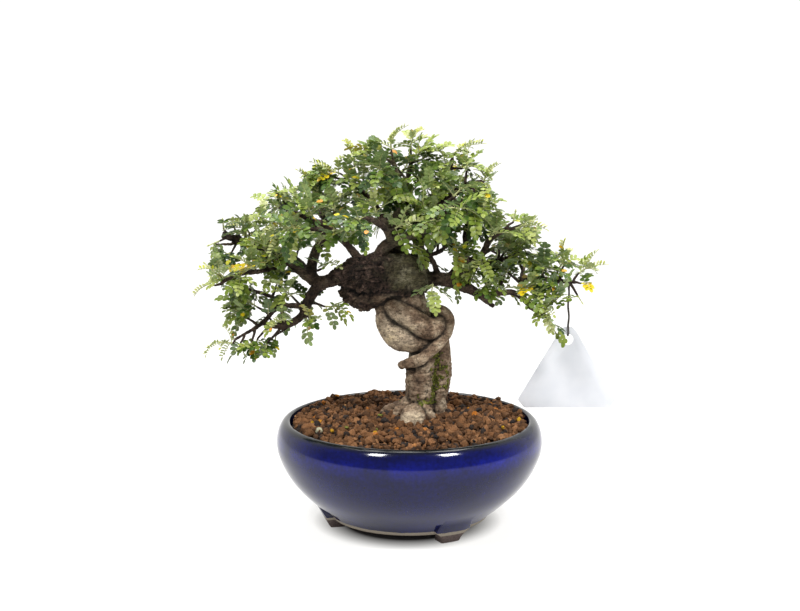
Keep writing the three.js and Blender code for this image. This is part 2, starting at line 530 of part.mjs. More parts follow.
// A shoot's green stem, which starts just clear of its woody twig.
function shootStem(name) {
  const { base, along, length } = shootOf(name);
  const at = (distance) => base.clone().addScaledVector(along, distance);
  return limb([[...at(GAP), SHOOT_RADIUS], [...at(length), SHOOT_RADIUS * STEM_TAPER]], { sides: 3 });
}

// The stem with the first leaves, counted from its tip and its foot in turn, that cross nothing.
function leafyShoot(name, index, stem, others) {
  const shoot = shootOf(name);
  let made = stem;
  let count = 0;
  for (let i = 0; i < shoot.leaves && count < LEAVES_PER_SHOOT; i++) {
    const k = i % 2 === 0 ? shoot.leaves - 1 - i / 2 : (i - 1) / 2;
    const leaf = leafOf(index, shoot, k);
    const blade = leafBlade(leaf);
    const wide = leafBlade(leaf, LEAF_CLEARANCE);
    if (others.some((other) => other.intersect(wide).volume() > 0)) continue;
    if (made.intersect(blade).volume() > ROOT_OVERLAP) continue;
    made = made.add(blade);
    count += 1;
  }
  return made;
}

// The soil: a bed heaped a little towards the tree, its surface raised into grit by a seeded rule.
const SOIL_RINGS = 9;
const SOIL_RADIUS = 93.4;
const SOIL_EDGE = 81;
const SOIL_HEAP = 6;
const GRIT_RELIEF = 3;
const GRIT_SHIFT = 2.6;
const RING_CROWDING = 0.8;
function soilHeight(radius) {
  return SOIL_EDGE + SOIL_HEAP * (1 - (radius / SOIL_RADIUS) ** 3);
}
function soil() {
  const clearance = 0.6;
  const floor = FLOOR_HEIGHT + GAP;
  const bowl = POT_INSIDE.slice(2).reverse();
  const wall = bowl.map(([r, z]) => new THREE.Vector2(r - clearance, Math.max(z, floor)));
  const top = [];
  for (let i = SOIL_RINGS; i >= 0; i--) {
    const radius = SOIL_RADIUS * (i / SOIL_RINGS) ** RING_CROWDING;
    top.push(new THREE.Vector2(radius, soilHeight(radius)));
  }
  const profile = [new THREE.Vector2(0, floor), ...wall, ...top];
  const lathe = new THREE.LatheGeometry(profile, POT_SEGMENTS).rotateX(Math.PI / 2);
  const corners = lathe.getAttribute('position');
  for (let i = 0; i < corners.count; i++) {
    const [x, y, z] = [corners.getX(i), corners.getY(i), corners.getZ(i)];
    const radius = Math.hypot(x, y);
    if (z < SOIL_EDGE || radius > SOIL_RADIUS - 1 || radius < 1) continue;
    const key = Math.round(10 * x) + 0.37 * Math.round(10 * y);
    const shift = 1 + (GRIT_SHIFT * (draw(key, 1) - 0.5)) / radius;
    corners.setXYZ(i, x * shift, y * shift, z + GRIT_RELIEF * (draw(key, 2) - 0.5));
  }
  const half = SCREEN_SIZE / 2 + GAP;
  const screenSpace = new THREE.BoxGeometry(2 * half, 2 * half, 2 * (SCREEN_THICKNESS + 2 * GAP));
  screenSpace.translate(0, 0, FLOOR_HEIGHT);
  return mainBody(solid(lathe).subtract(buriedWood(0.5)).subtract(solid(screenSpace)));
}

// The blank swing tag and the wire loop that holds it to the outer right bough.
const TAG_TOP = vec(124.3, 1, 157);
const TAG_THICKNESS = 0.8;
const TAG_HOLE_RADIUS = 4.4;
function swingTag() {
  const outline = new THREE.Shape([
    new THREE.Vector2(-3.5, 0),
    new THREE.Vector2(-7.5, -5),
    new THREE.Vector2(-38.5, -57.5),
    new THREE.Vector2(-38, -59.5),
    new THREE.Vector2(-33.5, -65),
    new THREE.Vector2(33.5, -65),
    new THREE.Vector2(38, -59.5),
    new THREE.Vector2(38.5, -57.5),
    new THREE.Vector2(7.5, -5),
    new THREE.Vector2(3.5, 0),
  ]);
  const hole = new THREE.Path();
  hole.absarc(0, -10, TAG_HOLE_RADIUS, 0, 2 * Math.PI, true);
  outline.holes.push(hole);
  const sheet = { depth: TAG_THICKNESS, bevelEnabled: false, curveSegments: 12 };
  const card = new THREE.ExtrudeGeometry(outline, sheet);
  card.translate(0, 0, -TAG_THICKNESS / 2).rotateX(Math.PI / 2);
  return solid(card.translate(TAG_TOP.x, TAG_TOP.y, TAG_TOP.z));
}
function tagWire() {
  const radius = 0.75;
  const [x, y, z] = TAG_TOP;
  const stations = [
    [0, 0, -6.9],
    [0.2, -1.5, -5.2],
    [0, -1.4, 0],
    [0.5, -1, 8],
    [-0.4, -1, 17],
    [0.2, -1.2, 26],
    [0, -2.9, 33],
    [0, -2.4, 38.4],
    [0, 0, 39.8],
    [0, 2.4, 38.4],
    [0, 2.9, 33],
    [0.6, 1.2, 26],
    [0, 1, 17],
    [0.7, 1, 8],
    [0.1, 1.4, 0],
    [0, 1.5, -5.2],
  ];
  return limb(stations.map(([dx, dy, dz]) => [x + dx, y + dy, z + dz, radius]), { sides: 5, loop: true });
}

const bonsai = new THREE.Group();
const woodSolid = wood();
const wireSolid = tagWire();
const tagSolid = swingTag();
bonsai.add(named('pot', pot(), 0x1d2370, 0.2));
bonsai.add(named('drainage_screen', drainageScreen(), 0x2b2b2b, 0.6));
bonsai.add(named('soil', soil(), 0x6e4527, 0.95));
bonsai.add(named('trunk_and_boughs', woodSolid, 0x6f6252, 0.9));
bonsai.add(named('tag_wire', wireSolid, 0x26221f, 0.5));
bonsai.add(named('swing_tag', tagSolid, 0xf2f2f4, 0.35));

// Every stem is in place before the first leaf, and each shoot's leaves keep clear of all that is there.
const names = Object.keys(SHOOTS);
const shootSolids = names.map(shootStem);
names.forEach((name, index) => {
  const others = shootSolids.filter((_, i) => i !== index);
  const solids = [woodSolid, wireSolid, tagSolid, ...others];
  shootSolids[index] = leafyShoot(name, index, shootSolids[index], solids);
  const colour = index % 3 === 0 ? 0x7fa04a : 0x3f6b33;
  bonsai.add(named(`shoot_${name}`, shootSolids[index], colour, 0.55));
});

// The origin is the middle of the whole model's footprint, on the surface that it stands on.
const box = new THREE.Box3().setFromObject(bonsai);
const middle = box.getCenter(new THREE.Vector3());
bonsai.children.forEach((mesh) => mesh.position.set(-middle.x, -middle.y, 0));

export default bonsai;
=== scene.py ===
# %% [markdown]
# # A Hawaiian hawthorn bonsai in a blue glazed pot
#
# This lesson dresses a small potted tree, Osteomeles anthyllidifolia. The tree's frame already exists as
# plain solids at their real size. Here each solid gets its finish, or a finer piece that takes its place.
# We start by loading that frame.

# %% Load the frame
import math

import bpy
import numpy as np
from mathutils import Matrix, Quaternion, Vector, noise


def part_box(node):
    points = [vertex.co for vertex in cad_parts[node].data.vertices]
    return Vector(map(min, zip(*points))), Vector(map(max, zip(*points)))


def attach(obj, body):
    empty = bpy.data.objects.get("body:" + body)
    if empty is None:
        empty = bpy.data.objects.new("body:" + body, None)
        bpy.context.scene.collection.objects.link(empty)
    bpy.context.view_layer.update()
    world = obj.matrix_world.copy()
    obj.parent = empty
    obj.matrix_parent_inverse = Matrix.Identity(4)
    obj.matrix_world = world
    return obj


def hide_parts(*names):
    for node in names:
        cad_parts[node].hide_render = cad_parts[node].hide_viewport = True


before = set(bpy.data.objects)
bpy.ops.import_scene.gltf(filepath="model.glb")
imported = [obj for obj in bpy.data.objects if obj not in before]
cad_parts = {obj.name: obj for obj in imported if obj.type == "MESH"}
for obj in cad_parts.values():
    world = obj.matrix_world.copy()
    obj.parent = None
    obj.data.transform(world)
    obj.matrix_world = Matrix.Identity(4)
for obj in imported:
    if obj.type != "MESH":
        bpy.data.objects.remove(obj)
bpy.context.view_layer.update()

# %% [markdown]
# The tree was laid out in millimetres about the pot's own axis. Blender works in metres about the middle of
# the whole model, so one function turns a place on the tree into a place in the scene.

# %% Places on the tree
MM = 0.001
pot_low, pot_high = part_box("pot")
POT_AXIS = Vector(((pot_low.x + pot_high.x) / 2, (pot_low.y + pot_high.y) / 2, 0))


def at(x, y, z):
    return POT_AXIS + Vector((x, y, z)) * MM


def all_at(points):
    return np.asarray(points, float) * MM + np.array(POT_AXIS)


def draw(i, k):
    """A repeatable draw from 0 to 1 for item i and question k."""
    wave = math.sin(i * 12.9898 + k * 78.233) * 43758.5453
    return wave - math.floor(wave)


print("pot axis in mm:", tuple(round(c / MM, 2) for c in POT_AXIS))

# %% [markdown]
# Operators act on whatever is selected, and loading leaves everything selected. These helpers start each
# piece with nothing selected, make a mesh from arrays, and apply modifiers for good.

# %% Working helpers
def deselect():
    bpy.ops.object.select_all(action="DESELECT")


def only(piece):
    deselect()
    piece.select_set(True)
    bpy.context.view_layer.objects.active = piece


def finish_modifiers(piece):
    only(piece)
    for modifier in list(piece.modifiers):
        bpy.ops.object.modifier_apply(modifier=modifier.name)


def settle(piece, name):
    """Names a piece and moves its place from its object into its mesh."""
    only(piece)
    bpy.ops.object.transform_apply(location=True, rotation=True, scale=True)
    piece.name = name
    piece.data.name = name
    return piece


def mesh_piece(name, points, faces):
    rows = faces if isinstance(faces, list) else faces.tolist()
    mesh = bpy.data.meshes.new(name)
    mesh.from_pydata(np.asarray(points).tolist(), [], rows)
    mesh.validate()
    piece = bpy.data.objects.new(name, mesh)
    bpy.context.scene.collection.objects.link(piece)
    return piece


def vertex_array(piece):
    values = np.empty(len(piece.data.vertices) * 3)
    piece.data.vertices.foreach_get("co", values)
    return values.reshape(-1, 3)


def vertex_normals(piece):
    values = np.empty(len(piece.data.vertices) * 3)
    piece.data.vertices.foreach_get("normal", values)
    return values.reshape(-1, 3)


def set_attribute(piece, name, values):
    attribute = piece.data.attributes.new(name, "FLOAT", "POINT")
    attribute.data.foreach_set("value", np.asarray(values, np.float32))


# %% [markdown]
# ## Materials
#
# A colour picked from a screen is an sRGB value, and shaders need it linear. One function converts it,
# and one small function adds a node with its settings and its links. Settings that come back are kept
# by name, so that a pattern can be given by its size in millimetres.

# %% Colour and node helpers
def clamped(value):
    return min(1.0, max(0.0, value))


def linear(hex_colour):
    channels = [int(hex_colour[i : i + 2], 16) / 255 for i in (1, 3, 5)]
    curve = [c / 12.92 if c <= 0.04045 else ((c + 0.055) / 1.055) ** 2.4 for c in channels]
    return (*curve, 1.0)


def connect(tree, node, links):
    """Feeds a node's inputs. What feeds one is an output, or a node, which gives its first one in use."""
    for key, source in dict(links).items():
        if isinstance(source, bpy.types.Node):
            source = next(output for output in source.outputs if output.enabled)
        tree.links.new(source, node.inputs[key])


def add(tree, kind, settings=(), links=(), stops=()):
    """Adds a node. Settings name a property or an input, links name an input and what feeds it."""
    node = tree.nodes.new(kind)
    for key, value in dict(settings).items():
        if isinstance(key, str) and hasattr(node, key):
            setattr(node, key, value)
        else:
            node.inputs[key].default_value = value
    connect(tree, node, links)
    if stops:
        ramp = node.color_ramp
        while len(ramp.elements) < len(stops):
            ramp.elements.new(0.5)
        for element, (place, colour) in zip(ramp.elements, stops):
            element.position = place
            element.color = linear(colour)
    return node


BLEND = {"data_type": "RGBA"}
SHADE = {"data_type": "RGBA", "blend_type": "MULTIPLY", "Factor": 1.0}


def patches(size, detail=3, roughness=0.5):
    """Settings of a noise whose coarsest patches are about as wide as size, in millimetres."""
    return {"Scale": 1 / (size * MM), "Detail": detail, "Roughness": roughness}


def stretch(low, high, to_low=0.0, to_high=1.0):
    """Settings that lay the stretch from low to high on the one from to_low to to_high."""
    return {"From Min": low, "From Max": high, "To Min": to_low, "To Max": to_high}


def new_material(name):
    """A material with its tree, its Principled shader and its object coordinates."""
    material = bpy.data.materials.new(name)
    material.use_nodes = True
    tree = material.node_tree
    shader = tree.nodes["Principled BSDF"]
    place = add(tree, "ShaderNodeTexCoord").outputs["Object"]
    return material, tree, shader, place


def paint(piece, material):
    piece.data.materials.clear()
    piece.data.materials.append(material)


# %% [markdown]
# The pot is stoneware dipped in a cobalt glaze. Glaze is glass: smooth, glossy and deep blue. It is so dark
# that most of what one sees on it is a reflection. Over the shoulder it ran thin and shows a brighter blue,
# which is painted into its colour and stands partly for a reflection there.
# At the lip it drew back and leaves a thin, nearly black line. The foot ring and feet were wiped bare and
# show brown-grey clay, rough enough to look matt. An image could be wrapped around the pot, but glaze runs
# by height, so one material that asks for the height over the table colours the whole wall without a seam.

# %% Cobalt glaze over stoneware
# Heights over the table in millimetres: where the glaze stops, where it is thin and a brighter blue is
# painted, where it draws back from the lip, and where the base ring was wiped.
GLAZE_LINE = 10.4
THIN_GLAZE_AND_SHEEN = (61, 70, 78)
LIP_LINE = 82.4
WIPED_RING = (7.1, 7.9)
# A fired glaze is as smooth as glass, and bare stoneware feels like fine sandpaper.
GLAZE_ROUGHNESS = 0.1
CLAY_ROUGHNESS = 0.8


def glazed_stoneware():
    material, tree, shader, place = new_material("cobalt_glaze_on_stoneware")
    height = add(tree, "ShaderNodeSeparateXYZ", links={0: place}).outputs["Z"]
    clouds = add(tree, "ShaderNodeTexNoise", patches(38.5, 4), {"Vector": place})
    body = add(tree, "ShaderNodeValToRGB", links={0: clouds},
               stops=[(0.3, "#040730"), (0.5, "#060a3c"), (0.7, "#080e48")])
    # Brighter blue runs, about 3 cm apart, where the glaze is thin, partly a painted reflection on the
    # shoulder.
    low, middle, high = (level * MM for level in THIN_GLAZE_AND_SHEEN)
    rise = add(tree, "ShaderNodeMapRange", stretch(low, middle), {"Value": height})
    fall = add(tree, "ShaderNodeMapRange", stretch(middle, high, 1, 0), {"Value": height})
    thin_and_sheen = add(tree, "ShaderNodeMath", {"operation": "MULTIPLY"}, {0: rise, 1: fall})
    drops = add(tree, "ShaderNodeTexNoise", patches(29.4, 5, 0.6), {"Vector": place})
    runs = add(tree, "ShaderNodeMapRange", stretch(0.35, 0.65), {"Value": drops})
    patchy = add(tree, "ShaderNodeMath", {"operation": "MULTIPLY"}, {0: thin_and_sheen, 1: runs})
    broken = add(tree, "ShaderNodeMix", {**BLEND, 7: linear("#0a1474")}, {0: patchy, 6: body})
    speckle = add(tree, "ShaderNodeTexNoise", patches(2.38, 4), {"Vector": place})
    speckle_shade = add(tree, "ShaderNodeMapRange", stretch(0.3, 0.7, 0.7, 1.3), {"Value": speckle})
    speckled = add(tree, "ShaderNodeMix", SHADE, {6: broken, 7: speckle_shade})
    # Pinholes lie about 10 mm apart. A real one is 0.3 mm wide, and it is drawn 1 to 2 mm wide to show.
    pits = add(tree, "ShaderNodeTexVoronoi", {"Scale": 1 / (10.5 * MM)}, {"Vector": place})
    pit_shade = add(tree, "ShaderNodeMapRange", stretch(0.05, 0.1, 0.35, 1.0), {"Value": pits})
    pitted = add(tree, "ShaderNodeMix", SHADE, {6: speckled, 7: pit_shade})
    at_lip = add(tree, "ShaderNodeMapRange", stretch((LIP_LINE - 2.4) * MM, (LIP_LINE + 0.4) * MM),
                 {"Value": height})
    glaze = add(tree, "ShaderNodeMix", {**BLEND, 7: linear("#0e1014")}, {0: at_lip, 6: pitted})
    # The grit in this clay is up to 1 mm wide.
    grit = add(tree, "ShaderNodeTexNoise", patches(1.11, 5), {"Vector": place})
    clay = add(tree, "ShaderNodeValToRGB", links={0: grit},
               stops=[(0.3, "#3c312f"), (0.55, "#554845"), (0.75, "#6b5d58")])
    wiped_low, wiped_high = (level * MM for level in WIPED_RING)
    wiped = add(tree, "ShaderNodeMapRange", stretch(wiped_low, wiped_high), {"Value": height})
    bare = add(tree, "ShaderNodeMix", {**BLEND, 7: linear("#8d8476")}, {0: wiped, 6: clay})
    # The glaze's lower edge wanders up and down by less than 2 mm.
    wander = add(tree, "ShaderNodeTexNoise", patches(11.1, 2), {"Vector": place})
    edge = add(tree, "ShaderNodeMath", {"operation": "MULTIPLY_ADD", 1: -1.6 * MM}, {0: wander, 2: height})
    coated = add(tree, "ShaderNodeMapRange", stretch((GLAZE_LINE - 1.0) * MM, (GLAZE_LINE - 0.6) * MM),
                 {"Value": edge})
    surface = add(tree, "ShaderNodeMix", BLEND, {0: coated, 6: bare, 7: glaze})
    roughness = add(tree, "ShaderNodeMapRange", stretch(0, 1, CLAY_ROUGHNESS, GLAZE_ROUGHNESS),
                    {"Value": coated})
    # The wall keeps slow waves from the potter's fingers, about 17 mm long, which bend the reflections.
    waves = add(tree, "ShaderNodeTexNoise", patches(16.7, 2), {"Vector": place})
    bump = add(tree, "ShaderNodeBump", {"Strength": 0.05, "Distance": MM}, {"Height": waves})
    connect(tree, shader, {"Base Color": surface, "Roughness": roughness, "Normal": bump})
    # Glass has an IOR near 1.5. It is set lower, because the real glaze mirrors the floor more faintly.
    shader.inputs["IOR"].default_value = 1.42
    return material


# %% [markdown]
# ## The pot
#
# A potter throws this shape on a wheel: one wall that swells from a narrow foot to a shoulder and turns in
# to a lip. We do the same with a ring of points. The ring is extruded and resized from station to station,
# from the drain hole under the pot, up the outside, over the lip and down the inside, and the last ring is
# bridged to the first so that the wall is closed.

# %% Throw the pot
POT_SIDES = 128
POT_STATIONS = [
    (12, 7), (40, 7), (61, 7), (62.8, 7.4), (63.6, 8.6), (66.6, 12), (73.5, 17.2), (80.4, 23.4), (88, 30.8),
    (94.2, 38.5), (98.8, 46), (102.2, 53.5), (104.3, 60), (105, 66), (104.6, 71.5), (103.2, 77), (101, 81),
    (99, 83), (97, 83.8), (95.6, 83.8), (94.6, 83.1), (94.4, 81.4), (96.2, 76), (98, 69), (98.3, 62),
    (96, 53), (91, 45), (84, 36.5), (74, 27), (63, 19), (50, 15.2), (30, 15), (12, 15),
]


def raise_ring(stations):
    """Extrudes and resizes the selected ring from station to station, each a radius and a height."""
    for (radius, height), (next_radius, next_height) in zip(stations, stations[1:]):
        rise = (next_height - height) * MM
        bpy.ops.mesh.extrude_region_move(TRANSFORM_OT_translate={"value": (0, 0, rise)})
        share = next_radius / radius
        bpy.ops.transform.resize(value=(share, share, 1), center_override=at(0, 0, next_height))


def thrown_wall():
    deselect()
    radius, height = POT_STATIONS[0]
    bpy.ops.mesh.primitive_circle_add(vertices=POT_SIDES, radius=radius * MM, location=at(0, 0, height))
    wall = bpy.context.object
    bpy.ops.object.mode_set(mode="EDIT")
    raise_ring(POT_STATIONS)
    bpy.ops.mesh.select_all(action="DESELECT")
    bpy.ops.mesh.select_non_manifold(extend=False, use_wire=False, use_multi_face=False,
                                     use_non_contiguous=False, use_verts=False)
    bpy.ops.mesh.bridge_edge_loops()
    bpy.ops.mesh.select_all(action="SELECT")
    bpy.ops.mesh.normals_make_consistent(inside=False)
    bpy.ops.object.mode_set(mode="OBJECT")
    return settle(wall, "glazed_pot")


pot_piece = thrown_wall()
print("thrown wall:", len(pot_piece.data.polygons), "faces")

# %% [markdown]
# The three feet were cut from a slab and luted on while the clay was soft, so each flares where it meets
# the bowl and leans out along its wall. A cube is cut into bands, each band is widened and moved outwards,
# its edges are rounded with a bevel, and it is joined to the bowl with a boolean, as wet clay is.

# %% Add the feet
# The pot sits on three feet, at these angles about its axis. Each is 16 mm wide at the table and 30 mm
# wide at 10.5 mm, where it meets the bowl, and it leans out by 0.57 mm for each millimetre of height.
FOOT_AZIMUTHS = (-61, -168, 66)
FOOT_WIDTH = 16
FOOT_DEPTH = 12
FOOT_TALL = 23
FOOT_OUTSIDE = 65
FOOT_LEAN = 0.57
FOOT_BANDS = (3, 5.5, 7.5, 9, 10.5, 13, 17, 20)
FOOT_WIDEST = 10.5
FOOT_FLARE = 0.85
FOOT_TAPER = 0.25
FOOT_ROUNDING = 1.1


def foot(azimuth):
    deselect()
    middle = at(FOOT_OUTSIDE - FOOT_DEPTH / 2, 0, FOOT_TALL / 2)
    bpy.ops.mesh.primitive_cube_add(size=1, location=middle)
    block = bpy.context.object
    block.scale = (FOOT_DEPTH * MM, FOOT_WIDTH * MM, FOOT_TALL * MM)
    settle(block, "foot")
    bpy.ops.object.mode_set(mode="EDIT")
    bpy.ops.mesh.select_all(action="SELECT")
    for height in FOOT_BANDS:
        bpy.ops.mesh.bisect(plane_co=at(0, 0, height), plane_no=(0, 0, 1))
        bpy.ops.mesh.select_all(action="SELECT")
    for side in (-0.25, 0, 0.25):
        bpy.ops.mesh.bisect(plane_co=at(0, side * FOOT_WIDTH, 0), plane_no=(0, 1, 0))
        bpy.ops.mesh.select_all(action="SELECT")
    bpy.ops.object.mode_set(mode="OBJECT")
    for vertex in block.data.vertices:
        height = vertex.co.z / MM
        flare = FOOT_FLARE * clamped(height / FOOT_WIDEST) ** 2.4
        taper = FOOT_TAPER * clamped((height - FOOT_WIDEST) / (FOOT_TALL - FOOT_WIDEST - 0.5))
        vertex.co.y = POT_AXIS.y + (vertex.co.y - POT_AXIS.y) * (1 + flare - taper)
        vertex.co.x += FOOT_LEAN * height * MM
        radius = math.hypot(vertex.co.x - POT_AXIS.x, vertex.co.y - POT_AXIS.y) / MM
        vertex.co.x -= max(0.0, radius - FOOT_OUTSIDE - FOOT_LEAN * height) * MM
    bevel = block.modifiers.new("rounded", "BEVEL")
    bevel.width = FOOT_ROUNDING * MM
    bevel.segments = 3
    finish_modifiers(block)
    turn = Matrix.Rotation(math.radians(azimuth), 4, "Z")
    block.data.transform(Matrix.Translation(POT_AXIS) @ turn @ Matrix.Translation(-POT_AXIS))
    return block


for azimuth in FOOT_AZIMUTHS:
    block = foot(azimuth)
    union = pot_piece.modifiers.new("lute", "BOOLEAN")
    union.operation = "UNION"
    union.object = block
    finish_modifiers(pot_piece)
    bpy.data.objects.remove(block)
only(pot_piece)
bpy.ops.object.shade_smooth_by_angle(angle=math.radians(35))
paint(pot_piece, glazed_stoneware())
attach(pot_piece, "root")
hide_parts("pot")
print("pot:", len(pot_piece.data.polygons), "faces")

# %% [markdown]
# ## The soil
#
# The tree stands in crushed lava and baked clay granules, 3 to 7 mm across. They are dry, rough and mostly
# brown, with some darker, some orange and a few nearly black. Each granule is a dented stone. We model
# five, then strew copies over a heaped bed, turned and sized by a seeded draw. A particle system could
# strew them too, but the draw puts each granule in the same place on every run. Every copy carries a tone
# that picks its colour.

# %% Crushed lava
def crushed_lava():
    material, tree, shader, place = new_material("crushed_lava_and_baked_clay")
    tone = add(tree, "ShaderNodeAttribute", {"attribute_name": "tone"}).outputs["Fac"]
    colour = add(
        tree,
        "ShaderNodeValToRGB",
        links={0: tone},
        stops=[(0.0, "#252221"), (0.1, "#332a25"), (0.3, "#4c3524"), (0.5, "#64452c"), (0.68, "#7c5638"),
               (0.78, "#926a48"), (0.86, "#a8801f"), (0.93, "#a86524"), (1.0, "#a9a68c")],
    )
    # Lava is frozen foam, so it looks dull and dusty. Its pores are 0.1 to 0.5 mm wide, and they are drawn
    # about 0.9 mm wide, because finer ones wouldn't show.
    pores = add(tree, "ShaderNodeTexNoise", patches(0.91, 5, 0.7), {"Vector": place})
    dust = add(tree, "ShaderNodeMapRange", stretch(0.3, 0.7, 0.55, 1.4), {"Value": pores})
    dusty = add(tree, "ShaderNodeMix", SHADE, {6: colour, 7: dust})
    bump = add(tree, "ShaderNodeBump", {"Strength": 0.9, "Distance": 0.7 * MM}, {"Height": pores})
    connect(tree, shader, {"Base Color": dusty, "Normal": bump})
    shader.inputs["Roughness"].default_value = 0.95
    shader.inputs["Specular IOR Level"].default_value = 0.2
    return material


lava = crushed_lava()

# %% Model five granules
GRANULE_KINDS = 5


def granule(kind):
    deselect()
    bpy.ops.mesh.primitive_ico_sphere_add(subdivisions=2, radius=1)
    stone = bpy.context.object
    facet = Vector([2 * draw(kind, k) - 1 for k in (1, 2, 3)]).normalized()
    for i, vertex in enumerate(stone.data.vertices):
        dent = noise.noise(vertex.co * 1.5 + Vector((7 * kind, 0, 0)))
        chip = 0.2 * (draw(kind * 50 + i, 4) - 0.5)
        flat = max(0.0, vertex.co.normalized().dot(facet) - 0.5)
        vertex.co *= 1 + 0.42 * dent + chip - 0.5 * flat
    points = vertex_array(stone)
    faces = [tuple(face.vertices) for face in stone.data.polygons]
    bpy.data.objects.remove(stone)
    return points, faces


granules = [granule(kind) for kind in range(GRANULE_KINDS)]
print("faces in each granule:", [len(faces) for _, faces in granules])

# %% [markdown]
# The bed under the granules is a plain heap. It only closes the gaps between them, so it is painted dark, as
# the shade in those gaps. It is thrown like the pot, ring by ring, and stays clear of the wall. The bed lies
# a little lower than the granules, so that they are sunk into it.

# %% Heap the bed
SOIL_RADIUS = 93.4
SOIL_EDGE = 81
SOIL_HEAP = 6
BED_BELOW = 2.5
BED_SIDES = 64


def soil_height(radius):
    return SOIL_EDGE + SOIL_HEAP * (1 - (radius / SOIL_RADIUS) ** 3)


BED_STATIONS = [(52, 15.9), (65, 20.8), (85, 38.6), (94.5, 52.6), (97, 64), (94, 74),
                (92.5, SOIL_EDGE - BED_BELOW)]
BED_STATIONS += [(r, soil_height(r) - BED_BELOW) for r in (86, 74, 60, 44, 28, 12)]


def heaped_bed():
    deselect()
    radius, height = BED_STATIONS[0]
    bpy.ops.mesh.primitive_circle_add(vertices=BED_SIDES, radius=radius * MM, location=at(0, 0, height),
                                      fill_type="NGON")
    bed = bpy.context.object
    bpy.ops.object.mode_set(mode="EDIT")
    bpy.ops.mesh.select_all(action="SELECT")
    raise_ring(BED_STATIONS)
    bpy.ops.mesh.select_all(action="SELECT")
    bpy.ops.mesh.normals_make_consistent(inside=False)
    bpy.ops.object.mode_set(mode="OBJECT")
    return settle(bed, "soil_bed")


# %% Strew the granules
GRANULE_PITCH = 4.4
GRANULE_SHIFT = 2.4
GRANULE_REACH = 92.0
WALL_INSIDE = 94.2
LOOSE_GRANULES = 620
# The circles that the stems and the knob fill: x, y and radius.
STEM_ZONES = [(9, 0, 13), (21, 4, 9), (2, -26, 9.5)]
# Single pale, yellow and orange granules that catch the eye: x, y, radius and tone.
ODD_GRANULES = [(-69, -48, 3.2, 1.0), (-59, -51, 1.6, 0.86), (-75.5, -26, 1.7, 0.86),
                (-26, -62.5, 1.8, 0.86), (86, -11, 1.7, 0.86), (71.5, -39, 1.5, 0.86),
                (-70, 39, 2.2, 0.93), (51, -11, 2.8, 0.93), (17, -17, 2, 1.0)]
# Small heaps along the rear wall, of 16 granules each: x, y and reach.
BACK_HEAPS = [(-30, 86, 9), (38, 86, 10), (76, 55, 7), (-62, 66, 7), (4, 88, 8)]
HEAP_GRANULES = 16
# The bed's tone paints it nearly black, a painted shade between the granules.
BED_SHADE_TONE = 0.05
ODD_LIFT = 3.2


def under_stem(x, y):
    return any(math.hypot(x - cx, y - cy) < r - 1.5 for cx, cy, r in STEM_ZONES)


def granule_places():
    """Rows of x, y, lift over the bed and radius: a close layer, loose ones on it, and heaps at the back."""
    places = []
    row_step = GRANULE_PITCH * math.sqrt(3) / 2
    rows = int(GRANULE_REACH / row_step)
    columns = int(GRANULE_REACH / GRANULE_PITCH) + 1
    for row in range(-rows, rows + 1):
        for column in range(-columns, columns + 1):
            key = row * 97 + column
            x = (column + 0.5 * (row % 2)) * GRANULE_PITCH + GRANULE_SHIFT * (draw(key, 1) - 0.5)
            y = row * row_step + GRANULE_SHIFT * (draw(key, 2) - 0.5)
            places.append((x, y, -1.8 + 2.6 * draw(key, 3), 1.7 + 1.7 * draw(key, 4) ** 2))
    for i in range(LOOSE_GRANULES):
        radius = GRANULE_REACH * math.sqrt(draw(i, 31))
        angle = 2 * math.pi * draw(i, 32)
        size = 1.1 + 2.5 * draw(i, 34) ** 2
        places.append((radius * math.cos(angle), radius * math.sin(angle), 1.0 + 1.4 * draw(i, 33), size))
    for heap, (cx, cy, reach) in enumerate(BACK_HEAPS):
        for i in range(HEAP_GRANULES):
            angle, share = 2 * math.pi * draw(i, 40 + heap), math.sqrt(draw(i, 50 + heap))
            x, y = cx + reach * share * math.cos(angle), cy + 0.6 * reach * share * math.sin(angle)
            lift = 1.5 + 5 * (1 - share) * draw(i, 60 + heap)
            places.append((x, y, lift, 1.8 + 0.9 * draw(i, 70 + heap)))
    return [(x, y, lift, size) for x, y, lift, size in places
            if math.hypot(x, y) + size < WALL_INSIDE and not under_stem(x, y)]


def granule_tone(i):
    """Mostly brown. About one in eight is nearly black, and one in seventy is orange."""
    rare = draw(i, 13)
    if rare < 0.12:
        return 0.02 + 0.12 * draw(i, 14)
    if rare > 0.985:
        return 0.9 + 0.05 * draw(i, 14)
    return 0.25 + 0.5 * draw(i, 12)


def strewn_soil():
    bed = heaped_bed()
    points = [vertex_array(bed)]
    faces = [tuple(face.vertices) for face in bed.data.polygons]
    tones = [np.full(len(points[0]), BED_SHADE_TONE)]
    total = len(points[0])
    bpy.data.objects.remove(bed)
    rows = [(*row, granule_tone(i)) for i, row in enumerate(granule_places())]
    rows += [(x, y, ODD_LIFT, size, tone) for x, y, size, tone in ODD_GRANULES]
    for i, (x, y, lift, size, tone) in enumerate(rows):
        shape, shape_faces = granules[i % GRANULE_KINDS]
        turn = Quaternion([draw(i, k) - 0.5 for k in (5, 6, 7, 8)]).normalized()
        stretch = np.diag([size * (0.85 + 0.4 * draw(i, 9)), size, size * (0.75 + 0.3 * draw(i, 10))])
        turned = shape @ stretch @ np.array(turn.to_matrix()).T
        height = soil_height(min(math.hypot(x, y), SOIL_RADIUS)) + lift
        points.append(all_at(turned + np.array([x, y, height])))
        faces += [tuple(total + v for v in face) for face in shape_faces]
        tones.append(np.full(len(turned), tone))
        total += len(turned)
    soil = mesh_piece("lava_grit_bed", np.concatenate(points), faces)
    set_attribute(soil, "tone", np.concatenate(tones))
    paint(soil, lava)
    return soil


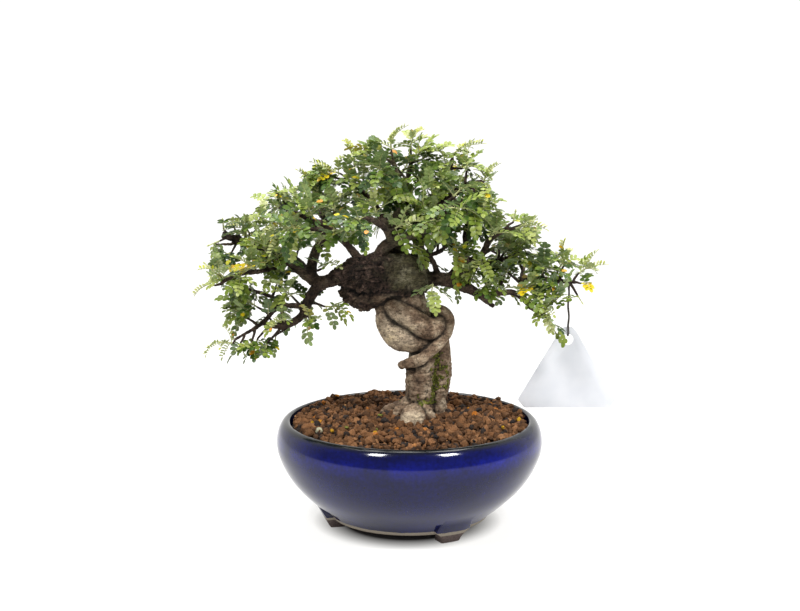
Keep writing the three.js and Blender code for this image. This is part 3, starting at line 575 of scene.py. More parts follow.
soil_piece = strewn_soil()
only(soil_piece)
bpy.ops.object.shade_smooth_by_angle(angle=math.radians(40))
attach(soil_piece, "root")
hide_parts("soil")
print("soil:", len(soil_piece.data.polygons), "faces")

# %% [markdown]
# ## The drainage screen
#
# Over the drain hole lies a square of moulded plastic mesh. Its solid already has the right form, so it
# keeps its shape and only gets a finish: black polypropylene, matt from the mould.

# %% Polypropylene mesh
def moulded_polypropylene():
    material, tree, shader, place = new_material("black_polypropylene")
    # A spark-eroded mould leaves a grain of about 0.05 mm, which dulls the sheen. It is drawn 0.7 mm wide,
    # because finer grain wouldn't show.
    matt = add(tree, "ShaderNodeTexNoise", patches(0.667, 2), {"Vector": place})
    colour = add(tree, "ShaderNodeValToRGB", links={0: matt}, stops=[(0.35, "#1a1a1b"), (0.7, "#2c2b2a")])
    bump = add(tree, "ShaderNodeBump", {"Strength": 0.3, "Distance": 0.1 * MM}, {"Height": matt})
    connect(tree, shader, {"Base Color": colour, "Normal": bump})
    shader.inputs["Roughness"].default_value = 0.55
    return material


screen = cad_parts["drainage_screen"]
paint(screen, moulded_polypropylene())
screen_low, screen_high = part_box("drainage_screen")
print("screen spans in mm:", [round(c / MM, 1) for c in screen_high - screen_low])

# %% [markdown]
# ## The wood
#
# The wood grew as one: a trunk of strands that knotted and fused, a dark old stump on top of it, and boughs
# that fork into twigs. Each limb is drawn as a curve through a few listed stations, where every
# station has a radius. The stations below are x, y, z and radius in millimetres from the pot's axis.

# %% The knotted trunk
KNOT = {
    "front_stem": [(9, 0, 58, 9), (9, 0, 80, 12.5), (8.5, 0, 92, 11.5), (8, -2, 106, 11), (8, -2, 120, 11),
                   (10, -1, 133, 11), (14, 2, 147, 10)],
    "right_stem": [(20, 4, 62, 6), (21, 4, 84, 9), (21.5, 4, 97, 7.5), (24, 4, 110, 8), (25, 4, 124, 8.5),
                   (25, 3, 138, 7.5), (24, 2, 150, 7)],
    "band": [(3, 8, 126, 3), (-4.5, 2, 126, 2.6), (-5.5, -6, 128, 3.4), (2, -12.5, 131.5, 4.4),
             (11, -14.5, 136, 4.6), (19, -12, 142.5, 4.6), (26, -8, 149.5, 4.8), (30, -2, 157, 5),
             (29.5, 3, 165, 5.2), (23, 5, 169, 5), (16, 6, 166, 5)],
    "upper_roll": [(-15, 0, 178, 5.5), (-12.5, -6, 174, 7.6), (-5, -10, 169, 8.6), (4.5, -12, 163.5, 8.8),
                   (13, -11, 158.5, 8.7), (20, -6, 157, 7.8), (24.5, 2, 160, 6.5)],
    "left_bulb": [(-14, 1, 181, 4.5), (-20, -1, 174, 6), (-19.5, -3, 166, 7.4), (-14, -4, 157.5, 11.2),
                  (-6, -5, 152, 13.2), (4, -5, 148, 10.8), (13, -4, 146, 8), (20, 0, 147, 6)],
    "core": [(14, 3, 138, 10), (10, 4, 150, 12), (4, 4, 164, 14), (-1, 3, 178, 14), (-4, 2, 190, 13)],
    "left_root": [(2, -2, 99, 6), (-5, -6, 95, 4.6), (-11, -10, 89.5, 3.4), (-15, -13, 84, 2.4),
                  (-18, -15, 78, 1.6)],
    "back_root": [(2, 3, 97, 5.5), (-8, 4, 93, 4.4), (-17, 5, 89, 3.8), (-23, 6, 83, 2.8),
                  (-26, 7, 77, 1.8)],
    "toe": [(6, -8, 94, 7), (13, -14, 92, 5.4), (19, -17, 86, 3.6)],
    "knob": [(4, -12, 92, 7.5), (3, -19, 90.5, 9.6), (2.2, -25, 87.5, 10.6), (2, -27, 82, 9.5)],
}
STUMP = {
    "stump_body": [(-63, 2, 194, 5), (-54, 1, 197, 9), (-43, 0, 198.5, 14), (-28, 0, 199, 17),
                   (-12, 0, 199, 17.5), (1, 0, 197, 16), (11, 1, 193, 11), (15, 1, 192, 6.5)],
    "stump_heel": [(-51, 2, 189, 6), (-46, 1, 183.5, 8), (-39, 0, 179, 8.5), (-29, 0, 183, 10.5),
                   (-14, 0, 190, 12)],
    "stump_snag": [(-41, 0, 182, 7), (-39.5, -1, 176, 5), (-38.5, -1, 169.5, 1.6)],
}
print("limbs in the knot and stump:", len(KNOT) + len(STUMP))

# %% The boughs
BOUGHS = {
    "left_main": [(-58, 2, 195, 6), (-68, 4, 192, 5.2), (-78, 7, 195, 4.6), (-87, 11, 201, 4),
                  (-96, 15, 207, 3.6), (-108, 19, 212, 3.2), (-120, 22, 218, 2.8), (-132, 24, 222, 2.7),
                  (-141, 25, 224.5, 3.1), (-148, 26, 226.5, 3.2)],
    "left_low": [(-64, 2, 194, 5), (-72, 0, 188, 4.8), (-78, -3, 180, 4.4), (-81, -5, 173, 4),
                 (-84, -6, 167, 3.4), (-91, -7, 162, 3), (-99, -8, 159.5, 2.8), (-107, -9, 160, 2.4),
                 (-114, -10, 162, 2)],
    "left_cross": [(-81, -5, 174, 2.6), (-92, -2, 174.5, 2.2), (-102, 2, 173, 2.4), (-108, -2, 168, 2),
                   (-114, -8, 162, 1.9), (-120, -11, 158, 1.6), (-128, -13, 154, 1.4),
                   (-135, -14, 150, 1.2)],
    "left_strut": [(-101, 1, 172, 1.7), (-98.5, -4, 166, 1.6), (-98, -8, 160, 1.7)],
    "left_fan": [(-102, 2, 173, 2), (-106, 6, 178, 1.8), (-113, 11, 181, 1.6), (-122, 15, 183, 1.5),
                 (-130, 18, 185, 1.3)],
    "left_spike": [(-132, 24, 221, 1.6), (-142, 22, 219.5, 1.3), (-153, 20, 220, 0.9)],
    "left_mid": [(-96, 15, 206, 2.6), (-106, 6, 203, 2.2), (-118, -4, 201.5, 2), (-130, -12, 201, 1.8),
                 (-139, -17, 198, 1.5), (-147, -20, 193, 1.2)],
    "left_riser": [(-74, 5, 191, 5), (-77, 12, 200, 4.6), (-75, 18, 211, 4.2), (-70, 23, 221, 3.6),
                   (-65, 26, 230, 3.2), (-60, 28, 239, 2.8), (-58, 28, 250, 2.2), (-62, 26, 261, 1.8)],
    "left_arm": [(-38, 4, 208, 4), (-46, 2, 219, 3.2), (-55, -3, 230, 3), (-64, -8, 238, 2.7),
                 (-75, -13, 243, 2.3), (-86, -17, 248, 2), (-94, -20, 250, 1.6)],
    "crown_left": [(-16, 5, 210, 4.5), (-15, 9, 226, 3.8), (-20, 14, 240, 3.2), (-28, 19, 252, 2.7),
                   (-38, 23, 262, 2.2), (-47, 25, 270, 1.8)],
    "crown_mid": [(-8, 6, 210, 4.5), (-8, 8, 226, 4), (-10, 9, 240, 3.6), (-8, 6, 254, 3.2),
                  (-8, 2, 266, 2.7), (-10, -3, 278, 2.2), (-13, -8, 289, 1.7)],
    "crown_right": [(4, 5, 208, 4.5), (6, 6, 222, 4), (2, 8, 236, 3.6), (-2, 12, 250, 3.2),
                    (-3, 16, 264, 2.7), (0, 19, 278, 2.1), (2, 21, 290, 1.6)],
    "cross_limb": [(-26, 0, 210, 5), (-18, -4, 222, 5), (-6, -6, 228, 4.6), (6, -7, 233, 4.3),
                   (18, -9, 240, 4), (28, -12, 247, 3.5), (36, -15, 254, 2.8), (41, -17, 260, 2.2)],
    "right_riser": [(9, 4, 205, 4), (8, 5, 222, 3.8), (9, 7, 236, 4), (12, 10, 247, 4.2),
                    (20, 14, 258, 3.6), (26, 18, 268, 3), (31, 22, 278, 2.5), (34, 25, 287, 1.9)],
    "right_reach": [(12, 9, 246, 4), (21, 2, 252, 4), (30, -6, 259, 3.6), (38, -12, 266, 3.2),
                    (47, -16, 269.5, 2.6), (55, -20, 273, 2)],
    "right_lean": [(12, 4, 207, 3), (16, 6, 217, 2.8), (24, 9, 228, 2.5), (31, 13, 237, 2.2),
                   (38, 16, 243, 1.8)],
    "right_wisp": [(15, 5, 214, 2.2), (22, 0, 216, 1.8), (29, -5, 222, 1.6), (35, -9, 226, 1.3)],
    "right_tie": [(14, 5, 214, 2.2), (19, 3, 207, 2.2), (23, 1, 197, 2.4)],
    "right_main": [(8, 2, 193, 8), (20, 1, 195, 6), (31, 0, 194, 5.6), (41, -1, 190, 5), (50, -2, 186, 4),
                   (57, -3, 181.5, 3.2), (62, -3, 177, 2.4), (66, -4, 174, 1.7)],
    "right_up": [(38, -1, 192, 4), (42, 4, 203, 3.5), (44, 9, 214, 3), (44, 14, 226, 2.6),
                 (46, 18, 238, 2.1), (49, 21, 246, 1.6)],
    "right_far": [(44, 1, 192, 3.4), (51, -2, 206, 3), (57, -7, 217, 2.7), (62, -11, 228, 2.4),
                  (70, -15, 234, 2.2), (76, -18, 237, 1.8)],
    "right_arch": [(50, -2, 186, 3), (60, -5, 184, 2.6), (69, -9, 185.5, 2.6), (79, -12, 186.5, 2.5),
                   (87, -13, 183, 2.5), (93, -14, 176, 2.2), (101, -15, 171, 1.9), (107, -16, 167, 1.5)],
    "right_post": [(87, -13, 184, 2.3), (87, -8, 192, 2.1), (88, -1, 200, 2), (90, 6, 206, 1.6)],
    "right_out": [(87, -6.5, 194, 2), (97, -2, 197, 2), (108, 1, 195, 1.9), (117, 2, 193, 2),
                  (124, 1, 193, 1.7), (130, 0, 192, 1.4)],
    "right_tip": [(117, 2, 193, 1.8), (119, 6, 202, 1.5)],
    "right_mid": [(43, 6, 207, 2.4), (52, 10, 206, 2.2), (62, 14, 206, 2.1), (73, 17, 208, 1.9),
                  (84, 19, 211, 1.6), (92, 20, 213, 1.2)],
    "front_left": [(-50, -1, 225, 2.8), (-58, -18, 232, 2.4), (-68, -34, 238, 2.1), (-78, -46, 240, 1.6)],
    "front_mid": [(-14, -5, 224, 3.2), (-18, -20, 236, 2.7), (-26, -36, 245, 2.2), (-33, -48, 249, 1.6)],
    "front_right": [(8, -7, 234, 3), (16, -22, 244, 2.5), (22, -37, 253, 2), (27, -48, 257, 1.5)],
    "back_mid": [(-6, 8, 226, 3.6), (-6, 26, 238, 3), (-8, 46, 248, 2.4), (-12, 62, 254, 1.7)],
    "back_right": [(9, 6, 227, 3.4), (20, 24, 236, 2.8), (34, 42, 244, 2.2), (45, 57, 248, 1.6)],
    "back_left": [(-65, 26, 231, 2.8), (-68, 38, 238, 2.4), (-76, 52, 243, 1.9), (-84, 63, 244, 1.5)],
    "low_right": [(30, 2, 196, 3.4), (42, 18, 203, 2.8), (56, 34, 209, 2.2), (68, 46, 213, 1.6)],
    "low_left": [(-78, 8, 196, 3.2), (-86, 24, 204, 2.7), (-96, 40, 208, 2.1), (-106, 52, 210, 1.6)],
}
print("boughs:", len(BOUGHS))

# %% [markdown]
# A curve with a round bevel is the quickest way to draw a limb: its points are the stations, and each
# point's radius scales the bevel. Converted to a mesh, all limbs of a piece are melted together by a voxel
# remesh, which also rounds the crotches as growing wood does.

# %% Grow limbs from curves
def limbs_piece(name, limbs, ring, smooth):
    """Tubes through the limbs' stations. Ring and smooth say how finely each is divided round and along."""
    curve = bpy.data.curves.new(name, "CURVE")
    curve.dimensions = "3D"
    curve.bevel_depth = MM
    curve.bevel_resolution = ring
    curve.resolution_u = smooth
    curve.use_fill_caps = True
    for stations in limbs:
        spline = curve.splines.new("BEZIER")
        spline.bezier_points.add(len(stations) - 1)
        spline.radius_interpolation = "CARDINAL"
        for point, (x, y, z, radius) in zip(spline.bezier_points, stations):
            point.co = at(x, y, z)
            point.radius = radius
            point.handle_left_type = point.handle_right_type = "AUTO"
    piece = bpy.data.objects.new(name, curve)
    bpy.context.scene.collection.objects.link(piece)
    only(piece)
    bpy.ops.object.convert(target="MESH")
    return bpy.context.object


def melt(piece, voxel, rounds):
    """Fuses a piece's limbs on a grid of voxels, in millimetres, and relaxes the steps that it leaves."""
    remesh = piece.modifiers.new("melt", "REMESH")
    remesh.mode = "VOXEL"
    remesh.voxel_size = voxel * MM
    relax = piece.modifiers.new("relax", "SMOOTH")
    relax.factor = 0.5
    relax.iterations = rounds
    finish_modifiers(piece)


def carve(piece, depth_at):
    """Moves every vertex along its normal by depth_at(place), all in millimetres."""
    places = (vertex_array(piece) - np.array(POT_AXIS)) / MM
    depths = np.array([depth_at(Vector(p)) for p in places])
    moved = all_at(places + vertex_normals(piece) * depths[:, None])
    piece.data.vertices.foreach_set("co", moved.ravel())
    piece.data.update()
    return places


# %% [markdown]
# The bark changes along the tree. The knot is young, tight bark: pale grey-beige, finely wrinkled across
# the strands and dotted with dark lenticels. The stump is dead, weathered wood: nearly black in its
# fissures and grey on top. A number from 0 to 1, the age, says which of the two a place has, and both the
# carving and the colour follow it. Sculpting would give such relief too, but noise gives it everywhere at
# once. Each noise below is divided by the width of its lumps, in millimetres.

# %% Age of the bark
def bark_age(place):
    """From 0 on the knot to 1 on the stump. Old bark starts at 180 mm, and lower on the stump's left."""
    height = (place.z - 180) / 6
    left = clamped((-22 - place.x) / 8) * clamped((place.z - 164) / 4)
    return clamped(max(height, left) + 0.5 * noise.noise(place / 5))


# Places with the reach of what is there: the bulb and knob, which are painted pale as if lit, and the
# hollow in the stump.
LIT_PALE_SPOTS = [((-10, -14, 156), 17), ((2, -32, 88), 11)]
STUMP_HOLLOW = ((-47, -14, 190), 7)


def painted_light_paleness(place):
    """How pale the tight bark is painted: 1 on the bulb and the knob, painted as lit, and less away from
    them, a painted shade of the crown.
    """
    reach = max(1 - (place - Vector(spot)).length / radius for spot, radius in LIT_PALE_SPOTS)
    return clamped(2.2 * reach + 0.3 + 0.5 * noise.noise(place / 6 + Vector((0, 0, 4))))


def lichen_at(place):
    """How far the stump's right shoulder is grown over with grey lichen, from 0 to 1."""
    reach = clamped((place.x + 22) / 12) * clamped((18 - place.x) / 4) * clamped((place.z - 184) / 8)
    return clamped(reach + 0.5 * noise.noise(place / 6 + Vector((3, 0, 0))) - 0.1)


def bark_depth(place):
    """How far the trunk's surface is raised at a place: young bark and old bark, mixed by age."""
    age = bark_age(place)
    rough = 1 - 0.7 * lichen_at(place)
    swell = 0.6 * noise.noise(place / 9)
    low = clamped((132 - place.z) / 6)
    wrinkle = (0.25 + 0.45 * low) * noise.noise(Vector((place.x / 6, place.y / 6, place.z / 1.6)))
    pores = -0.45 * max(0.0, noise.noise(place / 1.7 + Vector((9, 0, 0))) - 0.3)
    knobbly = low * (0.7 * noise.noise(place / 3.2) + 0.35 * noise.noise(place / 1.5))
    young = swell + wrinkle + pores + knobbly
    lumps = 2.2 * noise.noise(place / 7 + Vector((0, 5, 0)))
    ridge = 1 - 2 * abs(noise.noise(Vector((place.x / 6, place.y / 4, place.z / 3.6))))
    fissure = -3 * max(0.0, ridge - 0.45)
    flakes = 1.5 * noise.noise(place / 1.9) + 0.8 * noise.noise(place / 3.4)
    spot, reach = STUMP_HOLLOW
    hollow = -6 * clamped(1.2 - (place - Vector(spot)).length / reach)
    old = lumps + hollow + rough * (fissure + flakes)
    return young * (1 - age) + old * age


# %% [markdown]
# Shade gathers where strands meet, and it is painted into the bark's colour. A copy of the wood is relaxed
# until its creases are filled. How far the copy lies outside the wood tells how deep a place lies in a
# crease.

# %% Depth in a crease
def crease_depth(piece, rounds, depth):
    """How deep each vertex lies in a crease, from 1 there to -1 on a ridge."""
    filled = piece.copy()
    filled.data = piece.data.copy()
    bpy.context.scene.collection.objects.link(filled)
    relax = filled.modifiers.new("relax", "SMOOTH")
    relax.factor = 0.5
    relax.iterations = rounds
    finish_modifiers(filled)
    lift = ((vertex_array(filled) - vertex_array(piece)) * vertex_normals(piece)).sum(axis=1) / MM
    bpy.data.objects.remove(filled)
    return np.clip(lift / depth, -1, 1)


# %% [markdown]
# Bark is dry and rough, so it hardly shines. Its colours were picked for young and old wood, and the number
# for age blends them. The bulb and the knob are painted paler, as if lit, and the bark away from them
# darker, a painted shade of the crown. Thin layers of shade lie over that: streaks, wrinkles across the
# strands, specks and lenticels, each as wide as on the real bark, and last a painted shade in the creases
# with a little painted light on the ridges. A photographed bark image would repeat and stretch on such
# crooked limbs, and noise in the wood's own space doesn't.

# %% Bark
# Streaks 2.4 mm wide and 0.9 mm high, wrinkles 10 mm long and 1.5 mm apart, and specks 3 mm apart. Each is
# a squeeze along x, y and z, the noise's size in mm, detail and roughness, the stretch of noise and the
# shades that it is laid on, and its strength.
BARK_LAYERS = [((1, 1, 2.6), (2.38, 6, 0.75), (0.36, 0.62, 0.5, 1.2), 1.0),
               ((0.35, 0.35, 2.2), (3.33, 3, 0.6), (0.36, 0.5, 0.55, 1.0), 0.7),
               ((1, 1, 1), (3.03, 3, 0.8), (0.54, 0.64, 1.0, 0.3), 0.9)]


def bark():
    material, tree, shader, place = new_material("bark_young_pale_and_old_dark")
    age, lichen, crease, pale = (
        add(tree, "ShaderNodeAttribute", {"attribute_name": name}).outputs["Fac"]
        for name in ("age", "lichen", "crease", "pale")
    )
    broad = add(tree, "ShaderNodeTexNoise", patches(11.1, 6, 0.65), {"Vector": place})
    crumbly = add(tree, "ShaderNodeTexNoise", patches(4.76, 6, 0.75), {"Vector": place})
    light = add(tree, "ShaderNodeValToRGB", links={0: broad},
                stops=[(0.3, "#837360"), (0.45, "#a3927c"), (0.58, "#bba98f"), (0.72, "#cdb994")])
    brown = add(tree, "ShaderNodeValToRGB", links={0: broad},
                stops=[(0.3, "#4a3b2e"), (0.45, "#745f4c"), (0.57, "#9a8770"), (0.7, "#bfae96")])
    dark = add(tree, "ShaderNodeValToRGB", links={0: crumbly},
               stops=[(0.34, "#15100e"), (0.46, "#2e231d"), (0.58, "#4b3b32"), (0.7, "#7a675c")])
    grey = add(tree, "ShaderNodeValToRGB", links={0: broad},
               stops=[(0.3, "#38351f"), (0.5, "#5b563e"), (0.7, "#7f7a64")])
    colour = brown
    # pale lays the lighter colours on the bulb and the knob as a painted light, and the darker brown
    # elsewhere is a painted shade of the crown.
    for share, other in ((pale, light), (age, dark), (lichen, grey)):
        colour = add(tree, "ShaderNodeMix", BLEND, {0: share, 6: colour, 7: other})
    for squeeze, pattern, shade, strength in BARK_LAYERS:
        squeezed = add(tree, "ShaderNodeMapping", {"Scale": squeeze}, {"Vector": place})
        marks = add(tree, "ShaderNodeTexNoise", patches(*pattern), {"Vector": squeezed})
        layer = add(tree, "ShaderNodeMapRange", stretch(*shade), {"Value": marks})
        colour = add(tree, "ShaderNodeMix", {**SHADE, "Factor": strength}, {6: colour, 7: layer})
    # Lenticels, one in every 2 or 3 mm.
    dots = add(tree, "ShaderNodeTexVoronoi", {"Scale": 1 / (2.33 * MM)}, {"Vector": place})
    dot_shade = add(tree, "ShaderNodeMapRange", stretch(0.1, 0.34, 0.42, 1.0), {"Value": dots})
    dotted = add(tree, "ShaderNodeMix", {**SHADE, "Factor": 0.8}, {6: colour, 7: dot_shade})
    # Painted shade: the bark darkens in the creases, and a little painted light lifts the ridges.
    crease_shade_and_ridge_light = add(tree, "ShaderNodeMapRange", stretch(-0.5, 0.8, 1.2, 0.12), {"Value": crease})
    shaded = add(tree, "ShaderNodeMix", SHADE, {6: dotted, 7: crease_shade_and_ridge_light})
    # Real pores are 0.2 mm wide. They are drawn 1.4 mm wide, because finer ones wouldn't show.
    pores = add(tree, "ShaderNodeTexNoise", patches(1.43, 5, 0.6), {"Vector": place})
    bump = add(tree, "ShaderNodeBump", {"Strength": 0.8, "Distance": 0.7 * MM}, {"Height": pores})
    connect(tree, shader, {"Base Color": shaded, "Normal": bump})
    shader.inputs["Roughness"].default_value = 0.85
    shader.inputs["Specular IOR Level"].default_value = 0.25
    return material


bark_material = bark()


def dress_wood(piece, places, ages, creases):
    """Gives a wooden piece its numbers for the bark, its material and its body."""
    set_attribute(piece, "age", ages)
    set_attribute(piece, "lichen", [lichen_at(place) * age for place, age in zip(places, ages)])
    # pale carries the painted light on the bulb and the knob.
    set_attribute(piece, "pale", [painted_light_paleness(place) for place in places])
    set_attribute(piece, "crease", creases)
    paint(piece, bark_material)
    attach(piece, "root")


# %% Melt and carve the trunk
# Relaxing reaches as far as the grid times the square root of its rounds, so a fine grid takes more rounds:
# many to fill the creases between strands, and few to fill the carved fissures.
TRUNK_GRID = 0.85
STRAND_ROUNDS = round(68 / TRUNK_GRID**2)
FISSURE_ROUNDS = round(9 / TRUNK_GRID**2)

trunk = limbs_piece("knotted_trunk", [*KNOT.values(), *STUMP.values()], ring=5, smooth=6)
melt(trunk, voxel=TRUNK_GRID, rounds=2)
# The depths in the creases between strands, and below in the carved fissures, paint the bark darker there as
# shade.
trunk_creases = crease_depth(trunk, rounds=STRAND_ROUNDS, depth=1.0)
trunk_places = [Vector(p) for p in carve(trunk, bark_depth)]
trunk_creases += crease_depth(trunk, rounds=FISSURE_ROUNDS, depth=0.9)
dress_wood(trunk, trunk_places, [bark_age(p) for p in trunk_places], trunk_creases)
only(trunk)
bpy.ops.object.shade_smooth()
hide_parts("trunk_and_boughs")
print("trunk:", len(trunk.data.polygons), "faces")

# %% Melt and carve the boughs
def bough_depth(place):
    return 0.5 * noise.noise(place / 4) + 0.35 * noise.noise(place / 1.5)


BOUGH_GRID = 0.85
boughs = limbs_piece("grown_boughs", BOUGHS.values(), ring=2, smooth=4)
melt(boughs, voxel=BOUGH_GRID, rounds=2)
bough_places = [Vector(p) for p in carve(boughs, bough_depth)]
bough_ages = [clamped(0.9 + 0.5 * noise.noise(p / 11)) for p in bough_places]
dress_wood(boughs, bough_places, bough_ages, crease_depth(boughs, rounds=6, depth=0.6))
only(boughs)
bpy.ops.object.shade_smooth()
print("boughs:", len(boughs.data.polygons), "faces")

# %% [markdown]
# Moss has settled in the damp groove between the two stems, spreads from there over the rear stem and grows
# at their foot. It is a velvet of tiny leaves that catch the light in every direction, so it looks matt and
# soft. Hair strands would look closer, but they are too fine for the export. Each tuft is a small dented
# ball instead, set on the wood where it is damp.

# %% Grow moss in the groove
# Damp zones on the wood: x, y and z of the middle, the reach around it and the reach up and down.
MOSS_ZONES = [(25, -7, 117, 8, 12), (21, -7, 130, 6, 8), (15, -10, 102, 9, 5), (-14, 0, 94, 10, 6)]
# Tufts on the soil: x and y. Each spreads over 2.5 mm.
SOIL_MOSS = [(-48.6, -44), (-23, -13), (-26, -52)]
SOIL_TUFT_SPREAD = 2.5
SOIL_TUFT_PLACES = 200
MOSS_TUFTS = 1300


def moss():
    material, tree, shader, place = new_material("cushion_moss")
    cushions = add(tree, "ShaderNodeTexNoise", patches(2.22, 4), {"Vector": place})
    colour = add(tree, "ShaderNodeValToRGB", links={0: cushions},
                 stops=[(0.3, "#33381a"), (0.5, "#565a26"), (0.7, "#868345")])
    connect(tree, shader, {"Base Color": colour})
    shader.inputs["Roughness"].default_value = 0.95
    shader.inputs["Specular IOR Level"].default_value = 0.1
    return material


def in_moss_zone(place):
    return place.y < 0 and any(
        math.hypot(place.x - x, place.y - y) < reach and abs(place.z - z) < tall
        for x, y, z, reach, tall in MOSS_ZONES)


def moss_tufts():
    damp = [p for p, crease in zip(trunk_places, trunk_creases)
            if in_moss_zone(p) and 0.5 * crease + noise.noise(p / 4) > -0.05]
    for x, y in SOIL_MOSS:
        ground = soil_height(math.hypot(x, y)) + 2.5
        for k in range(SOIL_TUFT_PLACES):
            aside, back = (SOIL_TUFT_SPREAD * (draw(k, question) - 0.5) for question in (83, 84))
            damp.append(Vector((x + aside, y + back, ground)))
    points, faces = [], []
    for i in range(MOSS_TUFTS):
        centre = damp[int(draw(i, 80) * len(damp))]
        shape, shape_faces = granules[i % GRANULE_KINDS]
        start = sum(len(block) for block in points)
        points.append(all_at(shape * (0.3 + 0.5 * draw(i, 81)) + np.array(centre)))
        faces += [tuple(start + v for v in face) for face in shape_faces]
    tufts = mesh_piece("moss_tufts", np.concatenate(points), faces)
    only(tufts)
    bpy.ops.object.shade_smooth()
    paint(tufts, moss())
    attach(tufts, "root")
    print("moss:", len(damp), "damp places,", len(tufts.data.polygons), "faces")


moss_tufts()

# %% [markdown]
# ## The leafy shoots
#
# A twig ends in a green shoot, and the leaves follow a spiral along it, wide at its foot and closing to
# its tip. Each row below is the bough that carries the shoot, the place on that bough counted in its
# stations, the end of its woody twig, the way the shoot grows on, its number of leaves and their length.

# %% The shoots
SHOOTS = {
    "far_left": ("left_mid", 5, (-149, -21, 193.5), (-1, -0.1, 0.1), 5, 14),
    "left_flag": ("left_mid", 4, (-142, -21, 199), (-0.6, -0.3, 0.8), 6, 15),
    "left_plume": ("left_main", 6.5, (-126, 18, 229), (-0.5, -0.2, 0.8), 7, 16),
    "left_crest": ("left_main", 5.3, (-112, 22, 233), (-0.4, 0.1, 1), 8, 15),
    "arm_end": ("left_arm", 6, (-99, -21, 253), (-0.8, -0.1, 0.6), 7, 16),
    "riser_side": ("left_riser", 7, (-70, 23, 266), (-0.9, -0.3, 0.4), 7, 19),
    "crest_left": ("crown_left", 5, (-54, 24, 275), (-0.8, -0.1, 0.3), 8, 16),
    "crest_peak": ("crown_left", 5, (-43, 23, 284), (-0.05, 0, 1), 6, 16),
    "crest_front": ("crown_left", 4, (-36, 10, 273), (0.1, -0.6, 0.7), 9, 22),
    "mid_front": ("crown_mid", 5, (-20, -14, 278), (-0.3, -0.7, 0.5), 9, 22),
    "mid_peak": ("crown_mid", 6, (-14, -10, 296), (-0.1, 0, 1), 6, 17),
    "top_peak": ("crown_right", 6, (1, 20, 297), (0.2, -0.1, 1), 5, 13),
    "top_right": ("crown_right", 5.5, (10, 18, 287), (0.8, 0, 0.6), 7, 18),
    "ridge_front": ("crown_right", 5, (8, 7, 272), (0.6, -0.6, 0.2), 8, 21),
    "riser_leap": ("right_riser", 7, (34, 24, 290), (0.6, -0.1, 0.6), 6, 18),
    "riser_flank": ("right_riser", 6, (41, 24, 279), (0.9, 0.2, 0.4), 7, 16),
    "reach_end": ("right_reach", 5, (56, -21, 273), (0.3, 0, 1), 5, 11),
    "reach_under": ("right_reach", 4, (50, -24, 261), (0.5, -0.5, -0.2), 8, 17),
    "limb_end": ("cross_limb", 6.5, (44, -23, 250), (0.4, -0.7, 0.1), 9, 21),
    "up_end": ("right_up", 5, (53, 22, 246), (0.6, 0.1, 0.3), 8, 16),
    "far_end": ("right_far", 4.5, (80, -19, 237), (1, 0, 0.3), 8, 18),
    "mid_end": ("right_mid", 4.6, (96, 20, 212), (1, -0.2, -0.05), 8, 17),
    "mid_near": ("right_mid", 3, (74, 10, 214), (0.5, -0.5, 0.4), 9, 21),
    "tip_top": ("right_tip", 1, (121, 6, 205), (0.1, 0.1, 1), 6, 13),
    "tip_right": ("right_out", 4.6, (132, 3, 199), (0.9, 0.2, 0.6), 8, 14),
    "out_near": ("right_out", 1.5, (103, -8, 202), (0.3, -0.7, 0.4), 9, 21),
    "arch_drop": ("right_arch", 6, (102, -22, 178), (0.3, -0.6, -0.1), 8, 18),
    "arch_end": ("right_arch", 7, (110, -17, 163), (0.3, -0.2, -0.8), 6, 12),
    "post_near": ("right_post", 1, (91, -18, 192), (0.1, -0.8, 0.2), 8, 20),
    "main_near": ("right_main", 5, (58, -12, 190), (0.3, -0.8, 0.5), 8, 19),
    "up_near": ("right_up", 1.5, (39, -8, 209), (-0.3, -0.8, 0.3), 8, 20),
    "trunk_spray": ("right_main", 1, (18, -13, 194), (-0.15, -0.5, -0.9), 5, 18),
    "left_inner": ("left_riser", 1, (-67, 0, 204), (0.5, -0.5, 0.5), 7, 19),
    "arm_near": ("left_arm", 5, (-88, -28, 238), (-0.4, -0.8, 0.1), 9, 23),
    "main_near_left": ("left_main", 4.5, (-101, 4, 213), (-0.2, -0.9, 0.1), 9, 21),
    "mid_left_near": ("left_mid", 2, (-119, -13, 205), (-0.2, -0.8, 0.3), 7, 18),
    "low_left_near": ("left_low", 3, (-91, -14, 184), (-0.4, -0.6, 0.5), 8, 18),
    "fan_end": ("left_fan", 4, (-132, 18, 186), (-1, 0.1, 0.1), 7, 17),
    "fan_under": ("left_fan", 3, (-125, 10, 176), (-0.6, -0.3, -0.5), 7, 19),
    "cross_end": ("left_cross", 7, (-137, -14, 147), (-0.9, -0.1, 0.1), 8, 17),
    "low_drop": ("left_low", 4, (-80, -12, 167), (0.1, -0.2, -1), 6, 14),
    "low_inner": ("left_low", 2.5, (-66, -9, 175), (1, -0.1, 0), 8, 17),
    "front_left_end": ("front_left", 3, (-82, -50, 241), (-0.8, -0.5, 0.1), 9, 22),
    "front_mid_end": ("front_mid", 3, (-36, -53, 249), (-0.4, -0.8, -0.1), 9, 22),
    "front_right_end": ("front_right", 3, (30, -53, 257), (0.5, -0.8, 0), 9, 22),
    "back_mid_end": ("back_mid", 3, (-14, 68, 256), (-0.2, 0.9, 0.2), 9, 22),
    "back_right_end": ("back_right", 3, (49, 62, 249), (0.6, 0.7, 0.1), 9, 22),
    "back_left_end": ("back_left", 3, (-88, 68, 245), (-0.6, 0.7, 0.1), 9, 22),
    "low_right_end": ("low_right", 3, (73, 50, 214), (0.8, 0.6, 0.1), 9, 22),
    "low_left_end": ("low_left", 3, (-110, 56, 211), (-0.7, 0.6, 0.1), 9, 22),
}
print("shoots that stand for a solid:", len(SHOOTS))

# %% [markdown]
# The rule for a shoot's own frame and for its leaves is worked out here. The solids of the frame hold two
# leaves a shoot by the same rule and the same draws, so the finer leaves land where the plain ones are.

